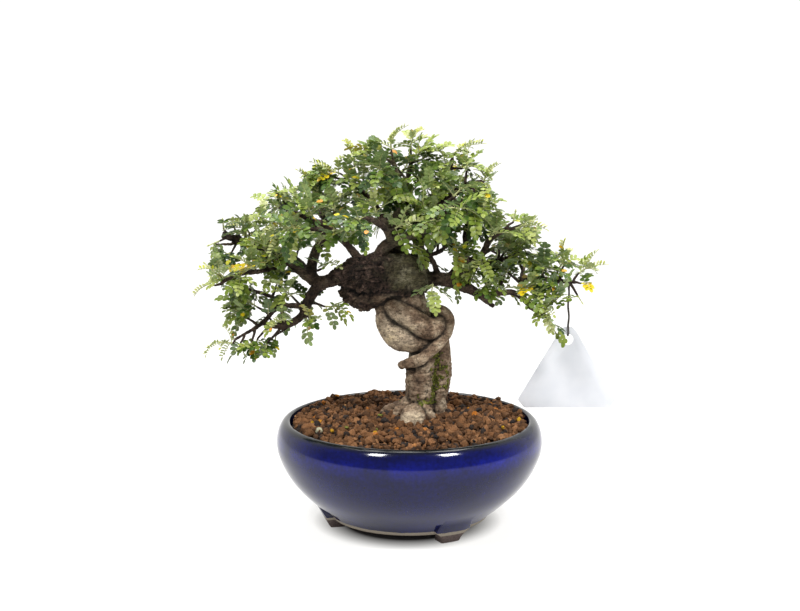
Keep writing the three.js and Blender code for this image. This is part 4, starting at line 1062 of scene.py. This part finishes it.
# %% Where shoots and leaves stand
# In radians. It is the turn from leaf to leaf that keeps them out of each other's shade.
GOLDEN_ANGLE = 2.39996


def on_bough(name, place):
    stations = BOUGHS[name]
    place = min(place, len(stations) - 1.3)
    before = min(int(place), len(stations) - 2)
    start, end = Vector(stations[before][:3]), Vector(stations[before + 1][:3])
    return start.lerp(end, place - before)


def shoot_frame(row):
    bough, place, end, aim, leaves, leaf_length = row
    return {"root": on_bough(bough, place), "base": Vector(end), "along": Vector(aim).normalized(),
            "leaves": leaves, "leaf_length": leaf_length, "length": 2 + 0.9 * leaves}


def leaf_frame(index, shoot, k):
    along = shoot["along"]
    share = (k + 0.7) / shoot["leaves"]
    side = Vector((1, 0, 0)) if abs(along.z) > 0.9 else Vector((0, 0, 1)).cross(along).normalized()
    top = along.cross(side).normalized()
    turn = GOLDEN_ANGLE * k + 2 * math.pi * draw(index, 1)
    spread = math.radians(78 - 48 * share + 14 * (draw(index, 40 + k) - 0.5))
    out = side * math.cos(turn) + top * math.sin(turn)
    way = along * math.cos(spread) + out * math.sin(spread)
    way.z += 0.12
    way.normalize()
    up = -along if abs(way.z) > 0.93 else Vector((0, 0, 1))
    up = (up - way * up.dot(way)).normalized()
    up.rotate(Quaternion(way, math.radians(70) * (draw(index, 60 + k) - 0.5)))
    return {"base": shoot["base"] + along * shoot["length"] * share, "along": way, "up": up,
            "length": shoot["leaf_length"] * (0.85 + 0.3 * draw(index, 20 + k)),
            "arch": math.radians(18 + 45 * draw(index, 80 + k))}


# %% [markdown]
# A leaf of this shrub is pinnate: a thin rib with pairs of rounded leaflets and one more at the tip. One
# leaflet is modelled, from a flat cone with a fan for its base: its rim is set level, its two poles make a
# thin lens, and it is stretched to an oblong, cupped a little across its midrib. Every leaflet on the tree
# is a copy.

# %% Model a leaflet
LEAFLET_THICKNESS = 0.06


def leaflet_form():
    deselect()
    bpy.ops.mesh.primitive_cone_add(vertices=10, radius1=0.5, radius2=0, depth=LEAFLET_THICKNESS,
                                    end_fill_type="TRIFAN")
    form = bpy.context.object
    for vertex in form.data.vertices:
        x, y, z = vertex.co
        pole = math.hypot(x, y) < 0.1
        x += 0.5
        y *= 0.92 + 0.16 * x
        vertex.co = (x, y, (z if pole else 0) + 0.22 * abs(y) - 0.14 * x * x)
    form.data.update()
    points = vertex_array(form)
    faces = np.array([tuple(face.vertices) for face in form.data.polygons])
    under = np.array([1.0 if face.normal.z < 0 else 0.0 for face in form.data.polygons])
    bpy.data.objects.remove(form)
    return points, faces, under


leaflet_points, leaflet_faces, leaflet_under = leaflet_form()
print("leaflet:", len(leaflet_points), "points,", len(leaflet_faces), "faces")

# %% [markdown]
# A leaf's rib arches, and the leaflets stand along it in pairs. A grown leaf carries three to six pairs,
# well apart, of nearly round leaflets 4 to 6 mm long, held flat. A young leaf is denser: its small, narrow
# leaflets overlap and stand up from the rib like an open book.

# %% Where leaflets stand
# The pitch along the rib and the leaflet's length in millimetres, its width as a share of its length, and
# how many degrees it is folded up.
GROWN = {"pitch": 4.1, "size": 5.3, "width": 0.74, "fold": 8}
YOUNG = {"pitch": 2.3, "size": 3.8, "width": 0.52, "fold": 48}


def grade(key, youth):
    return GROWN[key] + (YOUNG[key] - GROWN[key]) * youth


def leaf_curve(leaf, distance):
    """The place on a leaf's rib, the way on from there, and the way up."""
    along, up = leaf["along"], leaf["up"]
    bend = leaf["arch"] / leaf["length"]
    turn = distance * bend
    place = leaf["base"] + along * (math.sin(turn) / bend) - up * ((1 - math.cos(turn)) / bend)
    on_from_there = along * math.cos(turn) - up * math.sin(turn)
    up_from_there = up * math.cos(turn) + along * math.sin(turn)
    return place, on_from_there, up_from_there


def one_leaflet(place, on, up, across, lean, lift, size, width):
    """A row of foot, long way, cross way and normal, for a leaflet that leans away from the rib."""
    long_way = on * math.cos(lean) + across * math.sin(lean)
    raised = long_way * math.cos(lift) + up * math.sin(lift)
    normal = up * math.cos(lift) - long_way * math.sin(lift)
    return [place, raised * size, normal.cross(raised) * size * width, normal * size]


def leaflet_places(leaf, key, youth):
    """One row for each leaflet of a leaf: its pairs from the foot up, and the one at the tip."""
    across = leaf["up"].cross(leaf["along"]).normalized()
    pairs = max(3, round(0.87 * leaf["length"] / grade("pitch", youth)))
    stalk = 0.13 * leaf["length"]
    step = (leaf["length"] - stalk) / (pairs + 0.3)
    size, width = grade("size", youth) * (0.9 + 0.25 * draw(key, 9)), grade("width", youth)
    rows = []
    for j in range(pairs):
        share = j / (pairs - 1)
        place, on, up = leaf_curve(leaf, stalk + step * (j + 0.35))
        for side in (-1, 1):
            ask = key + 17 * j + side
            lean = side * math.radians(72 - 22 * share + 18 * (draw(ask, 1) - 0.5))
            lift = math.radians(grade("fold", youth) + 30 * (draw(ask, 2) - 0.5))
            swell = 0.82 + 0.22 * math.sin(math.pi * (0.12 + 0.7 * share))
            here = size * swell * (0.9 + 0.2 * draw(ask, 3))
            rows.append(one_leaflet(place, on, up, across, lean, lift, here, width))
    place, on, up = leaf_curve(leaf, leaf["length"] - 0.4 * step)
    rows.append(one_leaflet(place, on, up, across, 0.0, 0.05, 0.9 * size, width))
    return np.array(rows)


# %% [markdown]
# Most leaves are dark green and glossy. The youngest ones are pale yellow-green, and here and there a
# leaflet has turned yellow. One number, the tone, runs from dark green through fresh to yellow and orange.
# A leaf wears a skin of wax, with an IOR of 1.45 and a soft sheen, and it is so thin that a part of the
# light comes through. Subsurface scattering would show that too, but on a single sheet a translucent share
# is quicker and gives the same glow.

# %% Leaf surface
# The share of the light that comes through a leaf.
LEAF_GLOW = 0.28


def leaf_surface():
    material, tree, shader, place = new_material("leaf_with_waxy_face")
    tone = add(tree, "ShaderNodeAttribute", {"attribute_name": "tone"}).outputs["Fac"]
    under = add(tree, "ShaderNodeAttribute", {"attribute_name": "under"}).outputs["Fac"]
    # The tone drifts a little over every 1.4 mm of a leaflet.
    mottle = add(tree, "ShaderNodeTexNoise", patches(1.43, 2), {"Vector": place})
    drift = add(tree, "ShaderNodeMath", {"operation": "MULTIPLY_ADD", 1: 0.1}, {0: mottle, 2: tone})
    face = add(
        tree,
        "ShaderNodeValToRGB",
        links={0: drift},
        stops=[(0.05, "#2a4222"), (0.18, "#4a6628"), (0.32, "#7c9034"), (0.46, "#a4b058"),
               (0.62, "#c8c998"), (0.74, "#b4b926"), (0.86, "#dcc41e"), (1.0, "#cf8f28")],
    )
    pale = add(tree, "ShaderNodeMath", {"operation": "MULTIPLY", 1: 0.5}, {0: under})
    back = add(tree, "ShaderNodeMix", {**BLEND, 7: linear("#a3b98a")}, {0: pale, 6: face})
    connect(tree, shader, {"Base Color": back})
    shader.inputs["Roughness"].default_value = 0.36
    shader.inputs["IOR"].default_value = 1.45
    glow = add(tree, "ShaderNodeBsdfTranslucent", links={"Color": back})
    blend = add(tree, "ShaderNodeMixShader", {0: LEAF_GLOW}, {1: shader, 2: glow})
    connect(tree, tree.nodes["Material Output"], {"Surface": blend})
    return material


leaf_material = leaf_surface()

# %% [markdown]
# A bonsai is kept trimmed. A leaf whose tip would leave the crown's outline, or hang in one of the gaps that
# show its boughs, is left off, unless it is the first or last of a shoot that stands for a solid. The
# outline and the gaps are given as seen from the camera, in the upright plane of the trunk.

# %% Trim the crown
CAMERA_DISTANCE = 1197.5
CAMERA_HEIGHT = 385.3
# The outline as x and z, and the gaps as x, z and radius.
CROWN_EDGE = [(-162, 190), (-152, 206), (-155, 222), (-151, 238), (-138, 244), (-122, 248), (-110, 257),
              (-103, 272), (-92, 277), (-78, 284), (-62, 288), (-50, 304), (-28, 306), (-8, 314),
              (10, 308), (30, 304), (50, 312), (55, 298), (66, 286), (68, 262), (66, 250), (84, 246),
              (103, 248), (100, 236), (104, 222), (124, 220), (152, 219), (157, 210), (146, 196),
              (140, 184), (128, 190), (124, 168), (114, 150), (99, 160), (92, 172), (78, 178), (58, 174),
              (40, 177), (24, 178), (18, 164), (8, 180), (-20, 205), (-48, 214), (-60, 190), (-52, 178),
              (-40, 164), (-50, 158), (-66, 168), (-70, 150), (-82, 146), (-88, 158), (-98, 150),
              (-96, 136), (-122, 130), (-152, 130), (-162, 142), (-140, 156), (-152, 164), (-150, 178)]
CROWN_GAPS = [(-52, 216, 9), (-58, 212, 6), (-118, 195, 5), (-108, 193, 4), (22, 213, 8), (30, 207, 5),
              (76, 189, 5), (88, 196, 4), (-106, 166, 4), (-92, 168, 3), (-120, 172, 5), (14, 200, 4),
              (36, 262, 6), (20, 250, 5), (44, 228, 6), (60, 222, 5), (4, 262, 5), (74, 212, 4)]


def seen_from_front(place):
    """Where a place appears in the upright plane through the trunk, as the camera sees it."""
    scale = CAMERA_DISTANCE / (CAMERA_DISTANCE + place.y)
    return place.x * scale, CAMERA_HEIGHT - (CAMERA_HEIGHT - place.z) * scale


def inside(x, z, outline):
    """Whether a ray to the right of the point crosses the outline an odd number of times."""
    crossings = 0
    for (ax, az), (bx, bz) in zip(outline, outline[1:] + outline[:1]):
        if (az > z) != (bz > z) and x < ax + (bx - ax) * (z - az) / (bz - az):
            crossings += 1
    return crossings % 2 == 1


def is_kept(leaf):
    """Whether the middle and the tip of a leaf lie in the outline and out of the gaps."""
    for share in (0.5, 1.0):
        x, z = seen_from_front(leaf_curve(leaf, share * leaf["length"])[0])
        if not inside(x, z, CROWN_EDGE):
            return False
        if any(math.hypot(x - gx, z - gz) < reach for gx, gz, reach in CROWN_GAPS):
            return False
    return True


# %% [markdown]
# A spray is a green stem with a pale bud at its tip, the ribs of its leaves and all their leaflets. Stems
# and ribs are drawn as curves like the boughs, and the leaflets are laid in as arrays. One piece may hold
# one spray or many.

# %% Tones of the leaves
FRESH = {"cross_end": 0.58, "riser_side": 0.52, "crest_left": 0.5, "left_plume": 0.5, "riser_leap": 0.5,
         "crest_peak": 0.45, "tip_top": 0.45, "reach_end": 0.5, "far_left": 0.42, "mid_peak": 0.42,
         "left_flag": 0.42, "tip_right": 0.4, "arm_near": 0.42, "top_peak": 0.45, "far_end": 0.4}
# The shares of whole leaves and of single leaflets that have turned.
YELLOWED = 0.018
TURNED_LEAFLETS = 0.02
STEM_TONE = 0.52
FRESHEST_TONE = 0.62
YELLOW_TONE = 0.8
# A leaf starts to look young at this tone, and is fully young this much further on.
YOUNG_FROM = 0.3
YOUNG_SPAN = 0.24


def leaf_tone(name, index, share, k):
    """The tone of a shoot's leaf k, which grows fresher towards the shoot's tip."""
    key = index * 31 + k
    if draw(key, 5) < YELLOWED:
        return YELLOW_TONE
    of_shoot = FRESH.get(name, 0.06 + 0.26 * draw(index, 3))
    return min(of_shoot + 0.2 * share**2 + 0.14 * (draw(key, 4) - 0.5), FRESHEST_TONE)


def leaflet_tone(tone, ask):
    if draw(ask, 6) < TURNED_LEAFLETS:
        return 0.72 + 0.25 * draw(ask, 7)
    return tone + 0.16 * (draw(ask, 8) - 0.5)


# %% Grow sprays
RIB_SHARES = (0, 0.5, 0.98)


def stem_and_ribs(shoot, leaves):
    """Stations of the stem, which ends in a bud, and of each leaf's rib, which tapers to its tip."""
    base, along, length = shoot["base"], shoot["along"], shoot["length"]
    stem = [(0, 0.75), (0.5 * length, 0.6), (length, 0.5), (length + 1, 0.85), (length + 2.6, 0.25)]
    limbs = [[(*(base + along * distance), radius) for distance, radius in stem]]
    for leaf in leaves:
        places = [leaf_curve(leaf, share * leaf["length"])[0] for share in RIB_SHARES]
        limbs.append([(*place, 0.42 - 0.24 * share) for place, share in zip(places, RIB_SHARES)])
    return limbs


def spray(name, index, shoot):
    """The limbs of a spray, and the points and tones of its leaflets."""
    ends = (0, shoot["leaves"] - 1) if name in SHOOTS else ()
    leaves, points, tones = [], [], []
    for k in range(shoot["leaves"]):
        leaf = leaf_frame(index, shoot, k)
        if k not in ends and not is_kept(leaf):
            continue
        leaves.append(leaf)
        tone = leaf_tone(name, index, (k + 0.7) / shoot["leaves"], k)
        youth = clamped((tone - YOUNG_FROM) / YOUNG_SPAN) if tone < YELLOW_TONE else 0.0
        rows = leaflet_places(leaf, index * 100 + 7 * k, youth)
        laid = rows[:, None, 0] + np.einsum("pc,lcx->lpx", leaflet_points, rows[:, 1:])
        points.append(laid.reshape(-1, 3))
        shades = [leaflet_tone(tone, index * 700 + k * 40 + i) for i in range(len(rows))]
        tones.append(np.repeat(shades, len(leaflet_points)))
    limbs = stem_and_ribs(shoot, leaves) if leaves else []
    return limbs, points, tones


def leafy_piece(piece_name, sprays):
    """One piece from the limbs and leaflets of one spray or many."""
    limbs = [limb for made in sprays for limb in made[0]]
    points = all_at(np.concatenate([block for made in sprays for block in made[1]]))
    tones = np.concatenate([block for made in sprays for block in made[2]])
    stems = limbs_piece(piece_name, limbs, ring=0, smooth=2)
    set_attribute(stems, "tone", np.full(len(stems.data.vertices), STEM_TONE))
    count = len(points) // len(leaflet_points)
    starts = np.arange(count)[:, None, None] * len(leaflet_points)
    blades = mesh_piece(piece_name + "_blades", points, (leaflet_faces[None] + starts).reshape(-1, 3))
    set_attribute(blades, "tone", tones)
    attribute = blades.data.attributes.new("under", "FLOAT", "FACE")
    attribute.data.foreach_set("value", np.tile(leaflet_under, count).astype(np.float32))
    deselect()
    blades.select_set(True)
    stems.select_set(True)
    bpy.context.view_layer.objects.active = stems
    bpy.ops.object.join()
    bpy.ops.object.shade_smooth_by_angle(angle=math.radians(50))
    paint(stems, leaf_material)
    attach(stems, "root")
    return stems


# %% Grow every shoot
shoot_faces = 0
for index, (name, row) in enumerate(SHOOTS.items()):
    piece = leafy_piece("spray_" + name, [spray(name, index, shoot_frame(row))])
    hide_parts("shoot_" + name)
    shoot_faces += len(piece.data.polygons)
print("shoots:", len(SHOOTS), "with", shoot_faces, "faces")

# %% [markdown]
# The crown holds many more shoots than the frame has solids for. A few of them are placed one by one,
# because they make the crown's outline.

# %% Shoots at the outline
EDGE_SHOOTS = {
    "left_under": ("left_spike", 0.5, (-140, 15, 214), (-0.8, -0.4, -0.3), 7, 13),
    "left_stub": ("left_main", 8, (-147, 26, 231), (-0.1, 0, 1), 5, 10),
    "left_bud": ("left_main", 7, (-138, 25, 231), (-0.3, 0.1, 1), 6, 12),
    "arm_flag": ("left_arm", 5.4, (-96, -20, 258), (-0.1, 0, 1), 5, 12),
    "riser_top": ("left_riser", 6.5, (-69, 26, 266), (-0.5, 0, 1), 6, 13),
    "far_top": ("right_far", 4.5, (79, -18, 242), (0.2, 0, 1), 6, 12),
    "mid_top": ("right_mid", 4, (95, 19, 218), (0.2, 0, 1), 6, 12),
    "out_end": ("right_out", 4.5, (133, -2, 192), (1, -0.2, 0.1), 5, 10),
    "low_under": ("left_low", 7, (-118, -12, 150), (-0.3, -0.1, -0.9), 7, 16),
    "cross_mid": ("left_cross", 6, (-131, -15, 147), (0.3, -0.1, -0.9), 7, 14),
    "low_hang": ("left_low", 5, (-104, -10, 152), (-0.1, -0.1, -1), 6, 14),
    "low_front": ("left_low", 6, (-110, -18, 148), (-0.2, -0.5, -0.6), 7, 15),
    "cross_front": ("left_cross", 5, (-122, -20, 149), (-0.1, -0.6, -0.6), 7, 15),
}
edge_sprays = [spray(name, 100 + i, shoot_frame(row)) for i, (name, row) in enumerate(EDGE_SHOOTS.items())]
leafy_piece("outline_shoots", edge_sprays)
print("shoots at the outline:", len(EDGE_SHOOTS))

# %% [markdown]
# The others fill the crown by a rule. Along each bough, from its first third to its end, a twig leaves every
# few millimetres, turned on round the bough by the golden angle and raised a little towards the light. All
# the shoots of one bough are one piece.

# %% Shoots along the boughs
FILL_STEP = 13.0
FILL_BASE = 0.3
BARE_BOUGHS = ("left_spike", "left_strut", "right_tie", "right_tip")


def along_bough(name):
    """Places and directions along a bough, one for each fill step."""
    stations = [Vector(station[:3]) for station in BOUGHS[name]]
    spans = [(end - start).length for start, end in zip(stations, stations[1:])]
    total = sum(spans)
    found = []
    distance = FILL_BASE * total
    while distance < total:
        rest, i = distance, 0
        while rest > spans[i] and i < len(spans) - 1:
            rest -= spans[i]
            i += 1
        direction = (stations[i + 1] - stations[i]).normalized()
        found.append((stations[i] + direction * min(rest, spans[i]), direction, distance / total))
        distance += FILL_STEP
    return found


def fill_shoots(name, number):
    shoots = []
    for i, (root, direction, share) in enumerate(along_bough(name)):
        index = 200 + 17 * number + i
        side = direction.orthogonal().normalized()
        side.rotate(Quaternion(direction, GOLDEN_ANGLE * (i + number)))
        aim = direction * (0.25 + 0.35 * share) + side + Vector((0, 0, 0.45))
        aim.normalize()
        base = root + aim * (7 + 8 * draw(index, 21))
        leaves = 6 + int(3 * draw(index, 22))
        shoots.append((index, {"root": root, "base": base, "along": aim, "leaves": leaves,
                               "leaf_length": 15.5 + 6 * draw(index, 23), "length": 2 + 0.9 * leaves}))
    return shoots


fill_twigs = []
for number, name in enumerate(BOUGHS):
    if name in BARE_BOUGHS:
        continue
    grown = [(index, shoot, spray("", index, shoot)) for index, shoot in fill_shoots(name, number)]
    grown = [row for row in grown if row[2][1]]
    if grown:
        leafy_piece("fill_" + name, [made for _, _, made in grown])
        fill_twigs += [(index, shoot) for index, shoot, _ in grown]
print("shoots along the boughs:", len(fill_twigs))

# %% [markdown]
# Each shoot stands on a thin woody twig, too thin for the voxels, so the twigs stay plain tubes. Each
# starts inside its bough and bows a little on its way.

# %% Twigs
TWIG_AGE = 0.9


def twig_stations(index, shoot):
    root, base = shoot["root"], shoot["base"]
    span = (base - root).length
    bow = Vector((draw(index, 11) - 0.5, draw(index, 12) - 0.5, draw(index, 13) - 0.3)) * 0.16 * span
    first, second = root.lerp(base, 0.35) + bow, root.lerp(base, 0.7) + bow * 0.6
    return [(*root, 1.3), (*first, 1.1), (*second, 0.95), (*base, 0.8), (*(base + shoot["along"]), 0.6)]


named_twigs = [(i, shoot_frame(row)) for i, row in enumerate([*SHOOTS.values(), *EDGE_SHOOTS.values()])]
all_twigs = named_twigs + fill_twigs
twig_limbs = [twig_stations(index, shoot) for index, shoot in all_twigs]
twigs = limbs_piece("fine_twigs", twig_limbs, ring=1, smooth=3)
twig_places = [Vector(p) for p in (vertex_array(twigs) - np.array(POT_AXIS)) / MM]
dress_wood(twigs, twig_places, np.full(len(twig_places), TWIG_AGE), np.zeros(len(twig_places)))
only(twigs)
bpy.ops.object.shade_smooth_by_angle(angle=math.radians(50))
print("twigs:", len(all_twigs), "with", len(twigs.data.polygons), "faces")

# %% [markdown]
# ## The swing tag
#
# A blank card hangs from the outer right bough. It is milky white plastic, 0.8 mm thick, stamped to a
# triangle with cut and slightly rounded corners. We make it as a die would: an outline whose corners are
# bevelled, one extrusion for the sheet, and a punch for the hole, which a boolean takes out. Polypropylene
# sheet has an IOR of 1.49 and a faint gloss, and it lets a good part of the light through, so that it looks
# milky and not like paper.

# %% Stamp the card
TAG_TOP = (124.3, 1, 157)
TAG_THICKNESS = 0.8
TAG_CORNER = 1.4
TAG_HOLE_RADIUS = 4.4
TAG_HOLE_BELOW = 10
CARD_GLOW = 0.4
TAG_OUTLINE = [(-3.5, 0), (-7.5, -5), (-38.8, -58.5), (-33.5, -65), (33.5, -65), (38.8, -58.5), (7.5, -5),
               (3.5, 0)]


def stamped_card():
    deselect()
    x, y, z = TAG_TOP
    bpy.ops.mesh.primitive_circle_add(vertices=len(TAG_OUTLINE), radius=0.05, fill_type="NGON")
    card = bpy.context.object
    for vertex, (across, down) in zip(card.data.vertices, TAG_OUTLINE):
        vertex.co = at(x + across, y - TAG_THICKNESS / 2, z + down)
    bpy.ops.object.mode_set(mode="EDIT")
    bpy.ops.mesh.select_all(action="SELECT")
    bpy.ops.mesh.bevel(offset=TAG_CORNER * MM, segments=4, affect="VERTICES")
    bpy.ops.mesh.extrude_region_move(TRANSFORM_OT_translate={"value": (0, TAG_THICKNESS * MM, 0)})
    bpy.ops.mesh.select_all(action="SELECT")
    bpy.ops.mesh.normals_make_consistent(inside=False)
    bpy.ops.object.mode_set(mode="OBJECT")
    bpy.ops.mesh.primitive_cylinder_add(vertices=48, radius=TAG_HOLE_RADIUS * MM, depth=4 * MM,
                                        location=at(x, y, z - TAG_HOLE_BELOW),
                                        rotation=(math.radians(90), 0, 0))
    punch = bpy.context.object
    hole = card.modifiers.new("hole", "BOOLEAN")
    hole.operation = "DIFFERENCE"
    hole.object = punch
    finish_modifiers(card)
    bpy.data.objects.remove(punch)
    edge = card.modifiers.new("edge", "BEVEL")
    edge.width = 0.18 * MM
    edge.segments = 2
    edge.limit_method = "ANGLE"
    finish_modifiers(card)
    return settle(card, "swing_card")


def milky_plastic():
    material, tree, shader, place = new_material("milky_polypropylene_sheet")
    # The sheet is a little cloudy, in patches about 17 mm wide.
    clouds = add(tree, "ShaderNodeTexNoise", patches(16.7, 2), {"Vector": place})
    colour = add(tree, "ShaderNodeValToRGB", links={0: clouds}, stops=[(0.3, "#e6e8ec"), (0.7, "#eeeff2")])
    connect(tree, shader, {"Base Color": colour})
    shader.inputs["Roughness"].default_value = 0.3
    shader.inputs["IOR"].default_value = 1.49
    glow = add(tree, "ShaderNodeBsdfTranslucent", links={"Color": colour})
    blend = add(tree, "ShaderNodeMixShader", {0: CARD_GLOW}, {1: shader, 2: glow})
    connect(tree, tree.nodes["Material Output"], {"Surface": blend})
    return material


card = stamped_card()
only(card)
bpy.ops.object.shade_smooth_by_angle(angle=math.radians(35))
paint(card, milky_plastic())
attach(card, "root")
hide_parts("swing_tag")
print("card:", len(card.data.polygons), "faces")

# %% [markdown]
# A stiff wire in a dark coating is looped through the card's hole and over the bough. A closed curve with a
# round bevel follows such a loop through a few points, where an extruded ring would need many. The coating
# is PVC, which is smooth from the die: it shows a thin bright line along the wire and is dark beside it.

# %% Loop the wire
# The route is given from the top of the card.
WIRE_RADIUS = 0.75
WIRE_ROUTE = [(0, 0, -6.9), (0.2, -1.5, -5.2), (0, -1.4, 0), (0.5, -1, 8), (-0.4, -1, 17), (0.2, -1.2, 26),
              (0, -2.9, 33), (0, -2.4, 38.4), (0, 0, 39.8), (0, 2.4, 38.4), (0, 2.9, 33), (0.6, 1.2, 26),
              (0, 1, 17), (0.7, 1, 8), (0.1, 1.4, 0), (0, 1.5, -5.2)]


def coated_wire():
    material, tree, shader, place = new_material("dark_pvc_coated_wire")
    wear = add(tree, "ShaderNodeTexNoise", patches(2.0), {"Vector": place})
    colour = add(tree, "ShaderNodeValToRGB", links={0: wear}, stops=[(0.3, "#1d1512"), (0.7, "#3a2c26")])
    connect(tree, shader, {"Base Color": colour})
    shader.inputs["Roughness"].default_value = 0.4
    return material


def looped_wire():
    curve = bpy.data.curves.new("wire_loop", "CURVE")
    curve.dimensions = "3D"
    curve.bevel_depth = WIRE_RADIUS * MM
    curve.bevel_resolution = 3
    curve.resolution_u = 6
    spline = curve.splines.new("BEZIER")
    spline.bezier_points.add(len(WIRE_ROUTE) - 1)
    spline.use_cyclic_u = True
    for point, step in zip(spline.bezier_points, WIRE_ROUTE):
        point.co = at(*(a + b for a, b in zip(TAG_TOP, step)))
        point.handle_left_type = point.handle_right_type = "AUTO"
    wire = bpy.data.objects.new("wire_loop", curve)
    bpy.context.scene.collection.objects.link(wire)
    only(wire)
    bpy.ops.object.convert(target="MESH")
    bpy.ops.object.shade_smooth()
    return bpy.context.object


wire = looped_wire()
paint(wire, coated_wire())
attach(wire, "root")
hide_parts("tag_wire")
print("wire:", len(wire.data.polygons), "faces")

# %% [markdown]
# ## The studio
#
# The tree was photographed on a white sweep that is lit from below too, which leaves hardly any shadow. Here
# the sweep glows, and the glow is left off under the pot as a painted shadow. Two softboxes hang above and
# in front of it, and each leaves one small highlight on the pot's shoulder. The rest of the room is dim, so
# the shoulder stays deep blue, while the lower wall of the pot mirrors the white floor.

# %% White sweep
# The floor doesn't glow under the pot, a painted shadow: the glow starts 50 mm from the middle and is full
# at 76 mm.
SWEEP_WIDTH = 6.0
SWEEP_GLOW = 0.8
POT_SHADE = (50, 76)
SWEEP_PROFILE = [(-3.0, 0.0), (1.3, 0.0), (1.7, 0.06), (2.0, 0.22), (2.2, 0.5), (2.3, 0.9), (2.3, 3.0)]


def white_sweep():
    corners = [(side * SWEEP_WIDTH / 2, y, z) for y, z in SWEEP_PROFILE for side in (-1, 1)]
    faces = [(2 * i, 2 * i + 1, 2 * i + 3, 2 * i + 2) for i in range(len(SWEEP_PROFILE) - 1)]
    sweep = mesh_piece("white_sweep", corners, faces)
    only(sweep)
    bpy.ops.object.shade_smooth()
    material, tree, shader, place = new_material("white_paper")
    shader.inputs["Base Color"].default_value = linear("#8c8c8c")
    shader.inputs["Emission Color"].default_value = linear("#fffefb")
    reach = add(tree, "ShaderNodeVectorMath", {"operation": "LENGTH"}, {0: place})
    dark, lit = (radius * MM for radius in POT_SHADE)
    glow = add(tree, "ShaderNodeMapRange", stretch(dark, lit, 0, SWEEP_GLOW), {"Value": reach})
    connect(tree, shader, {"Emission Strength": glow})
    shader.inputs["Roughness"].default_value = 0.9
    shader.inputs["Specular IOR Level"].default_value = 0.0
    paint(sweep, material)
    return sweep


sweep = white_sweep()
print("sweep:", SWEEP_WIDTH, "m wide")

# %% Softboxes
def softbox(name, place, target, width, depth, power):
    """A rectangular lamp that faces its target. Places and sizes are in metres, the power is in watts."""
    light = bpy.data.lights.new(name, "AREA")
    light.shape = "RECTANGLE"
    light.size = width
    light.size_y = depth
    light.energy = power
    lamp = bpy.data.objects.new(name, light)
    bpy.context.scene.collection.objects.link(lamp)
    lamp.location = place
    lamp.rotation_euler = (Vector(target) - Vector(place)).to_track_quat("-Z", "Y").to_euler()


softbox("softbox_left", (-0.66, -0.9, 1.5), (0, 0, 0.12), 0.3, 0.4, 24)
softbox("softbox_right", (0.83, -0.9, 1.5), (0, 0, 0.12), 0.4, 0.4, 26)
softbox("top_light", (0, 0.5, 1.8), (0, 0, 0.2), 1.6, 1.0, 34)


def dim_room():
    """A room that is dark on the camera's side and bright behind the sweep."""
    world = bpy.data.worlds.new("dim_room")
    world.use_nodes = True
    tree = world.node_tree
    background = tree.nodes["Background"]
    direction = add(tree, "ShaderNodeTexCoord").outputs["Generated"]
    backward = add(tree, "ShaderNodeSeparateXYZ", links={0: direction}).outputs["Y"]
    strength = add(tree, "ShaderNodeMapRange", stretch(-0.2, 0.5, 0.25, 1.0), {"Value": backward})
    connect(tree, background, {"Strength": strength})
    background.inputs["Color"].default_value = linear("#ffffff")
    return world


bpy.context.scene.world = dim_room()

# %% [markdown]
# The camera stands 1.2 m in front of the pot and looks down at it by ten degrees, with a short telephoto.

# %% Camera
CAMERA_ASIDE = -7.4
CAMERA_PITCH = 10
camera_data = bpy.data.cameras.new("camera")
camera = bpy.data.objects.new("camera", camera_data)
bpy.context.scene.collection.objects.link(camera)
camera_data.lens = 70
camera_data.sensor_width = 36
camera_data.dof.use_dof = False
camera.location = at(CAMERA_ASIDE, -CAMERA_DISTANCE, CAMERA_HEIGHT)
camera.rotation_euler = (math.radians(90 - CAMERA_PITCH), 0, 0)
bpy.context.scene.camera = camera
bpy.context.scene.view_settings.view_transform = "Standard"
